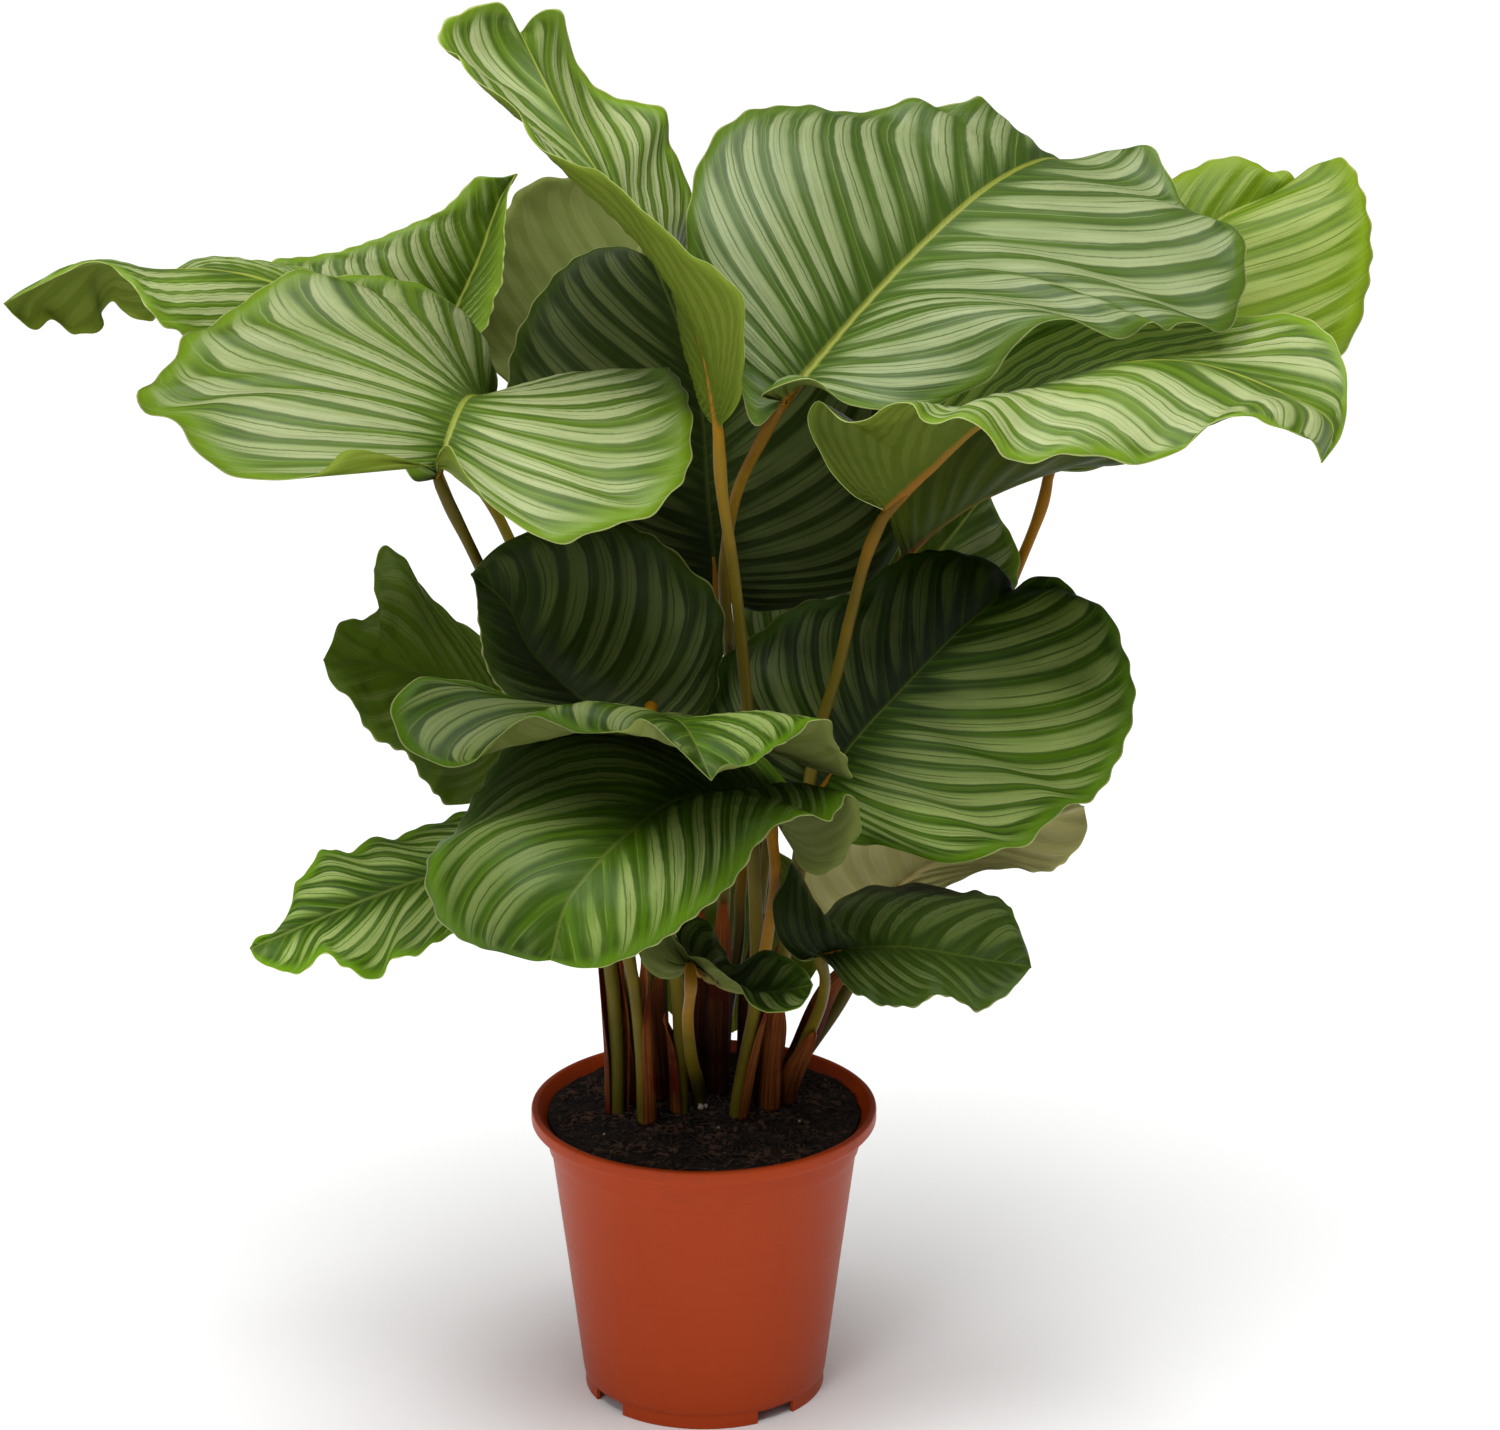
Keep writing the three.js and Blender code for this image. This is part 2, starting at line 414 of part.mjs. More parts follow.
function makePot() {
  const rimBottom = POT_HEIGHT - RIM_DEPTH;
  const chamferBottom = POT_HEIGHT - RIM_CHAMFER;
  const body = turned(
    [
      [0, FLOOR_TOP - WALL],
      [FOOT_RADIUS - WALL, FLOOR_TOP - WALL],
      [FOOT_RADIUS - WALL, 0],
      [FOOT_RADIUS, 0],
      [FOOT_RADIUS, FOOT_HEIGHT],
      [outerRadius(FOOT_HEIGHT), FOOT_HEIGHT],
      [outerRadius(LEDGE_HEIGHT), LEDGE_HEIGHT],
      [LEDGE_RADIUS, LEDGE_HEIGHT],
      [BAND_RADIUS, rimBottom],
      [RIM_RADIUS - RIM_ROUND, rimBottom],
      [RIM_RADIUS, rimBottom + RIM_ROUND],
      [RIM_RADIUS, POT_HEIGHT - RIM_ROUND],
      [RIM_RADIUS - RIM_ROUND, POT_HEIGHT],
      [RIM_RADIUS - RIM_TOP, POT_HEIGHT],
      [innerRadius(chamferBottom), chamferBottom],
      [innerRadius(LEDGE_HEIGHT), LEDGE_HEIGHT],
      [innerRadius(FLOOR_TOP), FLOOR_TOP],
      [0, FLOOR_TOP],
    ],
    POT_SIDES,
  );
  const cutters = [];
  for (let k = 0; k < NOTCHES; k += 1) {
    const angle = THREE.MathUtils.degToRad(NOTCH_START + (360 / NOTCHES) * k);
    const notch = new THREE.BoxGeometry(NOTCH_DEPTH, NOTCH_WIDTH, NOTCH_HEIGHT * 2);
    notch.translate(FOOT_RADIUS, 0, 0);
    notch.rotateZ(angle);
    cutters.push(solidOf(notch));
    const x = DRAIN_RING * Math.cos(angle);
    const y = DRAIN_RING * Math.sin(angle);
    cutters.push(uprightCylinder(DRAIN_RADIUS, 0, FLOOR_TOP * 2, x, y, DRAIN_SIDES));
  }
  const cut = cutters.reduce((solid, cutter) => solid.subtract(cutter), body);
  return meshOf("pot", geometryOfSolid(cut), TERRACOTTA);
}

// ---- Soil ----
function makeSoil() {
  // A flat side of the soil's polygon stays this share inside the pot's rounder one.
  const fit = Math.cos(Math.PI / SOIL_SIDES);
  const radius = (height) => (innerRadius(height) - GAP) * fit;
  const bottom = FLOOR_TOP + GAP;
  const slopeHeight = SOIL_TOP + SOIL_CROWN * SOIL_SLOPE_SHARE;
  let soil = turned(
    [
      [0, bottom],
      [radius(bottom), bottom],
      [radius(LEDGE_HEIGHT), LEDGE_HEIGHT],
      [radius(SOIL_EDGE), SOIL_EDGE],
      [radius(SOIL_EDGE) * SOIL_SLOPE_SHARE, slopeHeight],
      [0, SOIL_TOP + SOIL_CROWN],
    ],
    SOIL_SIDES,
  );
  const holeRadius = STALK_FOOT_RADIUS + HOLE_CLEARANCE;
  const holeBottom = SOIL_TOP - STALK_ROOT - HOLE_CLEARANCE;
  for (const leaf of Object.values(LEAVES)) {
    const [x, y] = leaf.foot;
    soil = soil.subtract(uprightCylinder(holeRadius, holeBottom, POT_HEIGHT, x, y, HOLE_SIDES));
  }
  return meshOf("soil", geometryOfSolid(soil), SOIL_BROWN);
}

// ---- Stalks ----
// From its root in the soil, up through its points, to just short of the blade.
function stalkCurve(leaf) {
  const [x, y] = leaf.foot;
  const base = vector(leaf.midrib[0]);
  const below = vector(leaf.stalk[0]);
  const end = base.clone().add(below.clone().sub(base).setLength(STALK_END_GAP));
  const root = vector([x, y, SOIL_TOP - STALK_ROOT]);
  const neck = vector([x, y, SOIL_TOP - STALK_UPRIGHT]);
  const collar = vector([x, y, SOIL_TOP + STALK_UPRIGHT]);
  const way = [...leaf.stalk].reverse().map(vector);
  return new THREE.CatmullRomCurve3([root, neck, collar, ...way, end], false, "centripetal");
}

// A closed body through rings of points, each ring with the same number of points.
function loft(rings) {
  const count = rings[0].length;
  const faces = [];
  rings.slice(1).forEach((_, i) => {
    for (let j = 0; j < count; j += 1) {
      const a = i * count + j;
      const b = i * count + ((j + 1) % count);
      faces.push(a, b, b + count, a, b + count, a + count);
    }
  });
  const last = (rings.length - 1) * count;
  for (let j = 1; j < count - 1; j += 1) {
    faces.push(0, j + 1, j);
    faces.push(last, last + j, last + j + 1);
  }
  return geometryOf(rings.flat(), faces);
}

function makeStalk(name, leaf) {
  const curve = stalkCurve(leaf);
  const frames = curve.computeFrenetFrames(STALK_STEPS, false);
  const rings = [];
  for (let i = 0; i <= STALK_STEPS; i += 1) {
    const share = i / STALK_STEPS;
    const radius = THREE.MathUtils.lerp(STALK_FOOT_RADIUS, STALK_TOP_RADIUS, share);
    const centre = curve.getPointAt(share);
    const ring = [];
    for (let j = 0; j < STALK_SIDES; j += 1) {
      const angle = (2 * Math.PI * j) / STALK_SIDES;
      const across = frames.normals[i].clone().multiplyScalar(Math.cos(angle) * radius);
      across.addScaledVector(frames.binormals[i], Math.sin(angle) * radius);
      ring.push(across.add(centre));
    }
    rings.push(ring);
  }
  return meshOf(`stalk_${name}`, loft(rings), STALK_OLIVE);
}

// ---- Sheaths ----
// A gutter round one stalk, narrowing to a point at its top.
function makeSheath(number, sheath) {
  const curve = stalkCurve(LEAVES[sheath.leaf]);
  const start = (STALK_ROOT + SOIL_CROWN + SHEATH_LIFT) / curve.getLength();
  const end = start + sheath.length / curve.getLength();
  const rings = [];
  for (let i = 0; i <= SHEATH_STEPS; i += 1) {
    const share = i / SHEATH_STEPS;
    const centre = curve.getPointAt(THREE.MathUtils.lerp(start, end, share));
    const narrowing = 1 - SHEATH_TAPER * share ** SHEATH_POINTING;
    const flare = SHEATH_FLARE * share ** SHEATH_OPENING;
    const ring = [];
    const corner = (column, radius) => {
      const half = (sheath.wrap / 2) * narrowing;
      const degrees = sheath.turn + THREE.MathUtils.lerp(-half, half, column / SHEATH_COLUMNS);
      const angle = THREE.MathUtils.degToRad(degrees);
      const reach = sheath.inside + radius + flare;
      return centre.clone().add(vector([Math.cos(angle) * reach, Math.sin(angle) * reach, 0]));
    };
    for (let j = 0; j <= SHEATH_COLUMNS; j += 1) ring.push(corner(j, SHEATH_THICKNESS));
    for (let j = SHEATH_COLUMNS; j >= 0; j -= 1) ring.push(corner(j, 0));
    rings.push(ring);
  }
  return meshOf(`sheath_${number}`, loft(rings), SHEATH_MAROON);
}

// ---- Blades ----
// A smooth value between evenly spaced ones.
function spaced(values, share) {
  const place = share * (values.length - 1);
  const index = Math.min(Math.floor(place), Math.max(values.length - 2, 0));
  const blend = (1 - Math.cos(Math.PI * (place - index))) / 2;
  const next = values[Math.min(index + 1, values.length - 1)];
  return values[index] + (next - values[index]) * blend;
}

// Veins leave the midrib at an angle, so a vein's foot is nearer the stalk than its end:
// the vein that ends at a share s of the margin starts at f of the midrib, s = f (3 - f) / 2.
function veinFoot(share) {
  const along = (1 - Math.cos(Math.PI * share)) / 2;
  return 1.5 - Math.sqrt(2.25 - 2 * along);
}

function makeBlade(name, leaf) {
  const first = vector(leaf.midrib[0]);
  const last = vector(leaf.midrib[leaf.midrib.length - 1]);
  const smooth = (points) => new THREE.CatmullRomCurve3(points, false, "centripetal");
  const midrib = smooth(leaf.midrib.map(vector));
  const margins = [leaf.left, leaf.right].map((side) => smooth([first, ...side.map(vector), last]));
  const columns = 2 * HALF_COLUMNS + 1;

  // The upper face: the stalk end, then rows of points from the left margin to the right, the tip.
  const top = [first];
  const ridge = [1];
  for (let row = 1; row < BLADE_ROWS; row += 1) {
    const share = row / BLADE_ROWS;
    const foot = veinFoot(share);
    const centre = midrib.getPointAt(foot);
    const along = midrib.getTangentAt(foot);
    for (let column = 0; column < columns; column += 1) {
      const side = column < HALF_COLUMNS ? 0 : 1;
      const reach = Math.abs(column - HALF_COLUMNS) / HALF_COLUMNS;
      const vein = margins[side].getPointAt(share).sub(centre);
      const up = side === 0 ? along.clone().cross(vein) : vein.clone().cross(along);
      const bow = spaced(leaf.bow[side], share);
      const arch = 4 * reach * (1 - reach) * bow * Math.min(1, vein.length() / FULL_BOW_WIDTH);
      top.push(centre.clone().addScaledVector(vein, reach).addScaledVector(up.normalize(), arch));
      ridge.push(reach === 0 ? 1 - share : 0);
    }
  }
  top.push(last);
  ridge.push(0);

  // Triangles of the upper face, alike on both faces.
  const at = (row, column) => 1 + (row - 1) * columns + column;
  const tip = top.length - 1;
  const upper = [];
  for (let column = 0; column < columns - 1; column += 1) {
    upper.push([0, at(1, column + 1), at(1, column)]);
    upper.push([tip, at(BLADE_ROWS - 1, column), at(BLADE_ROWS - 1, column + 1)]);
    for (let row = 1; row < BLADE_ROWS - 1; row += 1) {
      const corners = [at(row, column), at(row, column + 1), at(row + 1, column), at(row + 1, column + 1)];
      const leftHalf = column < HALF_COLUMNS;
      if (leftHalf) {
        upper.push([corners[0], corners[1], corners[2]], [corners[1], corners[3], corners[2]]);
      } else {
        upper.push([corners[0], corners[1], corners[3]], [corners[0], corners[3], corners[2]]);
      }
    }
  }

  // The lower face is the upper one set down along its normals.
  const normals = geometryOf(top, upper.flat()).getAttribute("normal");
  const under = top.map((point, i) => {
    const normal = new THREE.Vector3().fromBufferAttribute(normals, i);
    return point.clone().addScaledVector(normal, -BLADE_THICKNESS - MIDRIB_DEPTH * ridge[i]);
  });
  const faces = [...upper];
  upper.forEach(([a, b, c]) => faces.push([a + top.length, c + top.length, b + top.length]));

  // The thin edge round the margins.
  const rows = Array.from({ length: BLADE_ROWS - 1 }, (_, i) => i + 1);
  const leftEdge = [0, ...rows.map((row) => at(row, 0)), tip];
  const rightEdge = [0, ...rows.map((row) => at(row, columns - 1)), tip];
  const wall = (a, b) => faces.push([a, a + top.length, b + top.length], [a, b + top.length, b]);
  leftEdge.slice(1).forEach((point, i) => wall(point, leftEdge[i]));
  rightEdge.slice(1).forEach((point, i) => wall(rightEdge[i], point));
  return meshOf(`blade_${name}`, geometryOf([...top, ...under], faces.flat()), LEAF_GREEN);
}

// ---- The whole plant ----
const plant = new THREE.Group();
plant.add(makePot(), makeSoil());
for (const [name, leaf] of Object.entries(LEAVES)) {
  plant.add(makeBlade(name, leaf), makeStalk(name, leaf));
}
SHEATHS.forEach((sheath, i) => plant.add(makeSheath(i + 1, sheath)));

export default plant;
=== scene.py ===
# A calathea with large striped leaves in a terracotta-coloured nursery pot.
# Lengths are in millimetres in the lists below and are turned into metres as each piece is made.
import math
import random

import bmesh
import bpy
import numpy as np
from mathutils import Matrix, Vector
from mathutils.bvhtree import BVHTree


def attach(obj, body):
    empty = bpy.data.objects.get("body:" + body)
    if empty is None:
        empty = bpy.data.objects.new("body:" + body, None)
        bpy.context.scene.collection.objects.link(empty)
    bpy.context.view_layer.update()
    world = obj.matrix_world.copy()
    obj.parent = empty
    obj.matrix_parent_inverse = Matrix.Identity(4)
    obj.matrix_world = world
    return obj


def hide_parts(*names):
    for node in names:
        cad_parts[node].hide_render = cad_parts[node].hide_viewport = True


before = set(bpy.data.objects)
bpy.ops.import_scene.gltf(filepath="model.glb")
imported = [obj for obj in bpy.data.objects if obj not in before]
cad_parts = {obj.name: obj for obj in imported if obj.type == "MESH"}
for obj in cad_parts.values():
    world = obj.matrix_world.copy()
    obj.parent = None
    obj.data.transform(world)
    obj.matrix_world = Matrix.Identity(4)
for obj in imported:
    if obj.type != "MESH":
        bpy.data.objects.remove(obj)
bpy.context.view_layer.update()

# ---- Camera, floor and studio light -------------------------------------------------------
# The photograph was taken from about three metres, a little above the plant and looking down.
# The floor is one pale sheet that runs on behind the plant; the light is large and soft.
CAMERA_PLACE = (0.02805, -2.95, 1.43)
CAMERA_DOWN = 18.68  # degrees below the horizon
CAMERA_FOCAL = 5248 / 1500 * 36  # millimetres, for a sensor 36 mm wide

camera = bpy.data.objects.new("camera", bpy.data.cameras.new("camera"))
camera.data.sensor_fit = "HORIZONTAL"
camera.data.sensor_width = 36
camera.data.lens = CAMERA_FOCAL
camera.data.clip_end = 200
camera.location = CAMERA_PLACE
camera.rotation_euler = (math.radians(90 - CAMERA_DOWN), 0, 0)
bpy.context.scene.collection.objects.link(camera)
bpy.context.scene.camera = camera


def new_object(name, mesh):
    """Puts a mesh into the scene under a name."""
    made = bpy.data.objects.new(name, mesh)
    bpy.context.scene.collection.objects.link(made)
    return made


def new_material(name, roughness=0.5):
    """A material with its node tree and its main shader."""
    material = bpy.data.materials.new(name)
    material.use_nodes = True
    tree = material.node_tree
    shader = tree.nodes["Principled BSDF"]
    shader.inputs["Roughness"].default_value = roughness
    return material, tree, shader


def node(tree, kind, inputs=(), **settings):
    """Adds a node, sets its properties, and joins or sets its inputs by name or number."""
    made = tree.nodes.new(kind)
    for key, value in settings.items():
        setattr(made, key, value)
    for key, value in dict(inputs).items():
        if isinstance(value, bpy.types.NodeSocket):
            tree.links.new(value, made.inputs[key])
        else:
            made.inputs[key].default_value = value
    return made


def calc(tree, operation, first, second=0.0, third=0.0, clamp=False):
    """One step of arithmetic between node outputs or plain numbers."""
    made = node(tree, "ShaderNodeMath", {0: first, 1: second, 2: third}, operation=operation)
    made.use_clamp = clamp
    return made.outputs[0]


def step_up(tree, value, low, high):
    """0 below low, 1 above high, and smooth between."""
    made = node(tree, "ShaderNodeMapRange", {"Value": value, "From Min": low, "From Max": high},
                interpolation_type="SMOOTHSTEP")
    return made.outputs["Result"]


def blend_colour(tree, share, first, second, mode="MIX"):
    """Mixes two colours by a share."""
    made = node(tree, "ShaderNodeMix", data_type="RGBA", blend_type=mode)
    for key, value in ((0, share), (6, first), (7, second)):
        if isinstance(value, bpy.types.NodeSocket):
            tree.links.new(value, made.inputs[key])
        elif key == 0:
            made.inputs[key].default_value = value
        else:
            made.inputs[key].default_value = (*value, 1)
    return made.outputs[2]


def paint(red, green, blue):
    """A colour measured on a screen, 0 to 255, as linear light."""
    return tuple((c / 255 / 12.92) if c <= 10 else ((c / 255 + 0.055) / 1.055) ** 2.4
                 for c in (red, green, blue))


FLOOR_HALF = 40.0
floor_mesh = bpy.data.meshes.new("floor")
floor_mesh.from_pydata([(-FLOOR_HALF, -FLOOR_HALF, 0), (FLOOR_HALF, -FLOOR_HALF, 0),
                        (FLOOR_HALF, FLOOR_HALF, 0), (-FLOOR_HALF, FLOOR_HALF, 0)], [], [(0, 1, 2, 3)])
floor = new_object("floor", floor_mesh)
floor_material, floor_tree, floor_shader = new_material("pale_paper_floor", 0.8)
grain = node(floor_tree, "ShaderNodeTexNoise", {"Scale": 3.0, "Detail": 3.0})
floor_colour = blend_colour(floor_tree, grain.outputs["Fac"], (0.93, 0.93, 0.93), (0.95, 0.95, 0.95))
floor_tree.links.new(floor_colour, floor_shader.inputs["Base Color"])
floor_shader.inputs["Specular IOR Level"].default_value = 0.1
floor_mesh.materials.append(floor_material)

world = bpy.data.worlds.new("studio")
world.use_nodes = True
world.node_tree.nodes["Background"].inputs["Color"].default_value = (1.0, 1.0, 1.0, 1)
world.node_tree.nodes["Background"].inputs["Strength"].default_value = 0.2
bpy.context.scene.world = world
bpy.context.scene.view_settings.view_transform = "Standard"


def softbox(name, place, aim, width, height, watts, colour=(1, 1, 1)):
    """A large rectangular lamp that points at aim."""
    lamp = bpy.data.lights.new(name, "AREA")
    lamp.shape = "RECTANGLE"
    lamp.size = width
    lamp.size_y = height
    lamp.energy = watts
    lamp.color = colour
    made = bpy.data.objects.new(name, lamp)
    made.location = place
    made.rotation_euler = (Vector(aim) - Vector(place)).to_track_quat("-Z", "Y").to_euler()
    bpy.context.scene.collection.objects.link(made)


sun = bpy.data.lights.new("soft_key_light", "SUN")
sun.energy = 3.0
sun.angle = math.radians(50)
key = bpy.data.objects.new("soft_key_light", sun)
key.location = (-1, -1.5, 3)
key.rotation_euler = (math.radians(6), math.radians(3), 0)
bpy.context.scene.collection.objects.link(key)
softbox("overhead_softbox", (-0.5, -0.9, 2.4), (0, 0, 0.5), 1.3, 0.9, 16)
softbox("front_softbox", (-1.4, -2.6, 1.5), (0, 0, 0.3), 1.1, 1.5, 18)
# ---- Pot ----------------------------------------------------------------------------------
# A nursery pot of thin injection-moulded plastic, terracotta-coloured, with a rolled rim, a
# stacking ledge under it and a foot ring with four drainage gaps.
POT_HEIGHT = 183
RIM_RADIUS = 105
BAND_RADIUS = 96.5
LEDGE_HEIGHT = 157
LEDGE_RADIUS = 94.5
FOOT_RADIUS = 73.5
FOOT_HEIGHT = 10
FLOOR_TOP = 13
POT_WALL = 2.2
POT_SIDES = 192
NOTCHES = 4
NOTCH_START = -143  # degrees, the first gap's middle
NOTCH_WIDTH = 27
NOTCH_HEIGHT = 8
MM = 0.001


def turned_mesh(name, profile, sides, closed=True):
    """A mesh turned about the upright axis from [radius, height] points in millimetres."""
    shape = bmesh.new()
    rings = []
    for radius, height in profile:
        if radius == 0:
            rings.append([shape.verts.new((0, 0, height * MM))] * sides)
            continue
        rings.append([shape.verts.new((radius * MM * math.cos(2 * math.pi * k / sides),
                                       radius * MM * math.sin(2 * math.pi * k / sides),
                                       height * MM)) for k in range(sides)])
    pairs = list(zip(rings, rings[1:])) + ([(rings[-1], rings[0])] if closed else [])
    for low, high in pairs:
        for k in range(sides):
            corners = [low[k], low[(k + 1) % sides], high[(k + 1) % sides], high[k]]
            distinct = list(dict.fromkeys(corners))
            if len(distinct) > 2:
                shape.faces.new(distinct)
    mesh = bpy.data.meshes.new(name)
    shape.to_mesh(mesh)
    shape.free()
    mesh.shade_smooth()
    return mesh


# Outline from the inner edge of the floor's underside round the outside, over the rim and
# down the inside, with the corners eased as a mould leaves them.
POT_PROFILE = [
    (0, FLOOR_TOP - POT_WALL), (60, FLOOR_TOP - POT_WALL), (70.3, FLOOR_TOP - POT_WALL - 0.4),
    (71.3, FLOOR_TOP - POT_WALL - 1.6), (71.3, NOTCH_HEIGHT), (71.6, NOTCH_HEIGHT - 0.2),
    (73.2, NOTCH_HEIGHT - 0.2), (73.5, NOTCH_HEIGHT), (73.5, 9.4), (73.7, 9.9), (74.3, 10.1),
    (74.5, 10.5), (75.0, 14), (83.6, 83.5), (92.9, 155.6), (93.3, 156.6), (93.9, 157.0), (94.3, 157.2),
    (94.6, 157.8), (95.6, 166), (96.4, 173.2), (96.9, 173.9), (103.2, 174.0), (104.2, 174.3),
    (104.9, 175.2), (105.0, 176.2), (105.0, 181.2), (104.7, 182.2), (103.9, 182.9), (103.2, 183.0),
    (102.2, 183.0), (101.3, 182.7), (100.6, 182.0), (95.6, 176.3), (95.2, 175.2), (93.6, 164),
    (92.4, 157.0), (90.8, 154.8), (81.4, 83.5), (72.8, FLOOR_TOP + 1), (72.0, FLOOR_TOP), (0, FLOOR_TOP)]

pot = new_object("pot_body", turned_mesh("pot_body", POT_PROFILE, POT_SIDES, closed=False))

FOOT_PROFILE = [(71.3, 9.5), (71.3, 0.5), (71.8, 0.0), (73.0, 0.0), (73.5, 0.5), (73.5, 9.5)]
foot_shape = bmesh.new()
for index in range(NOTCHES):
    half_gap = NOTCH_WIDTH / 2 / FOOT_RADIUS
    begin = math.radians(NOTCH_START + 360 / NOTCHES * index) + half_gap
    end = math.radians(NOTCH_START + 360 / NOTCHES * (index + 1)) - half_gap
    steps = 40
    rows = []
    for k in range(steps + 1):
        angle = begin + (end - begin) * k / steps
        rows.append([foot_shape.verts.new((r * MM * math.cos(angle), r * MM * math.sin(angle), z * MM))
                     for r, z in FOOT_PROFILE])
    for low, high in zip(rows, rows[1:]):
        for a in range(len(FOOT_PROFILE)):
            b = (a + 1) % len(FOOT_PROFILE)
            foot_shape.faces.new((low[a], high[a], high[b], low[b]))
    foot_shape.faces.new(rows[0])
    foot_shape.faces.new(reversed(rows[-1]))
bmesh.ops.recalc_face_normals(foot_shape, faces=foot_shape.faces)
foot_mesh = bpy.data.meshes.new("pot_feet")
foot_shape.to_mesh(foot_mesh)
foot_shape.free()
feet = new_object("pot_feet", foot_mesh)

plastic, tree, shader = new_material("terracotta_plastic", 0.42)
place = node(tree, "ShaderNodeTexCoord")
cloud = node(tree, "ShaderNodeTexNoise", {"Vector": place.outputs["Object"], "Scale": 9.0, "Detail": 4.0})
speckle = node(tree, "ShaderNodeTexNoise", {"Vector": place.outputs["Object"], "Scale": 420.0, "Detail": 2.0})
rings = node(tree, "ShaderNodeMapping", {"Vector": place.outputs["Object"], "Scale": (1.5, 1.5, 60.0)})
drag = node(tree, "ShaderNodeTexNoise", {"Vector": rings.outputs["Vector"], "Scale": 6.0, "Detail": 3.0})
base = blend_colour(tree, cloud.outputs["Fac"], paint(158, 50, 3), paint(170, 60, 10))
base = blend_colour(tree, calc(tree, "MULTIPLY", drag.outputs["Fac"], 0.22), base, paint(180, 72, 22))
upright = node(tree, "ShaderNodeSeparateXYZ", {"Vector": place.outputs["Object"]})
splash = node(tree, "ShaderNodeTexNoise", {"Vector": place.outputs["Object"], "Scale": 60.0, "Detail": 5.0})
soiled = calc(tree, "MULTIPLY", step_up(tree, splash.outputs["Fac"], 0.56, 0.72),
              step_up(tree, upright.outputs["Z"], 0.150, 0.182))
base = blend_colour(tree, calc(tree, "MULTIPLY", soiled, 0.35), base, paint(88, 52, 36))
tree.links.new(base, shader.inputs["Base Color"])
rough = calc(tree, "MULTIPLY_ADD", drag.outputs["Fac"], 0.16, 0.34)
tree.links.new(rough, shader.inputs["Roughness"])
shader.inputs["Specular IOR Level"].default_value = 0.17
height = calc(tree, "ADD", calc(tree, "MULTIPLY", speckle.outputs["Fac"], 0.4), drag.outputs["Fac"])
bump = node(tree, "ShaderNodeBump", {"Strength": 0.12, "Distance": 0.0006, "Height": height})
tree.links.new(bump.outputs["Normal"], shader.inputs["Normal"])
for piece in (pot, feet):
    piece.data.materials.append(plastic)
    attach(piece, "root")
    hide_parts("pot")

# ---- Soil ---------------------------------------------------------------------------------
# Dark peat and bark that fills the pot to just under its rim, with loose fibres, crumbs of
# bark and a few grains of perlite on top. It is pressed down by hand round the stalks.
SOIL_TOP = 174
SOIL_CROWN = 3
SOIL_RADIUS = 95.0
SOIL_RINGS = 60
SOIL_SIDES = 200
dice = random.Random(41)


def lump(x, y):
    """Height in millimetres of the soil's lumps over its even top."""
    total = 0.0
    for scale, size in ((0.05, 1.5), (0.13, 1.0), (0.31, 0.6), (0.74, 0.35)):
        total += size * math.sin(x * scale + 1.7 * size) * math.cos(y * scale * 1.13 + 2.3 * size)
        total += 0.5 * size * math.sin((x + y) * scale * 1.61 + 0.4)
    return total


def soil_height(x, y):
    """Height in millimetres of the soil's top at a place."""
    share = min(1.0, math.hypot(x, y) / SOIL_RADIUS)
    return SOIL_TOP + SOIL_CROWN * (1 - share ** 2) + 4.0 * share ** 6 + 0.7 * lump(x, y)


soil_profile = [(0, FLOOR_TOP + 0.4), (70, FLOOR_TOP + 0.4), (92.0, 157), (SOIL_RADIUS - 1.2, 170.5)]
soil_profile += [(SOIL_RADIUS * (1 - k / SOIL_RINGS), SOIL_TOP) for k in range(SOIL_RINGS)]
soil_profile.append((0, SOIL_TOP))
soil_mesh = turned_mesh("soil_bed", soil_profile, SOIL_SIDES, closed=False)
for vertex in soil_mesh.vertices:
    if vertex.co.z > 173 * MM:
        vertex.co.z = soil_height(vertex.co.x / MM, vertex.co.y / MM) * MM
soil = new_object("soil_bed", soil_mesh)

peat, tree, shader = new_material("moist_peat", 0.9)
place = node(tree, "ShaderNodeTexCoord")
clod = node(tree, "ShaderNodeTexNoise", {"Vector": place.outputs["Object"], "Scale": 95.0, "Detail": 8.0,
                                         "Roughness": 0.7})
fleck = node(tree, "ShaderNodeTexVoronoi", {"Vector": place.outputs["Object"], "Scale": 240.0})
dark = blend_colour(tree, step_up(tree, clod.outputs["Fac"], 0.35, 0.68), paint(13, 8, 6), paint(50, 34, 25))
dark = blend_colour(tree, step_up(tree, fleck.outputs["Color"], 0.88, 0.99), dark, paint(84, 58, 40))
tree.links.new(dark, shader.inputs["Base Color"])
height = calc(tree, "ADD", clod.outputs["Fac"], calc(tree, "MULTIPLY", fleck.outputs["Distance"], 0.6))
bump = node(tree, "ShaderNodeBump", {"Strength": 1.0, "Distance": 0.004, "Height": height})
tree.links.new(bump.outputs["Normal"], shader.inputs["Normal"])
shader.inputs["Specular IOR Level"].default_value = 0.25
soil_mesh.materials.append(peat)

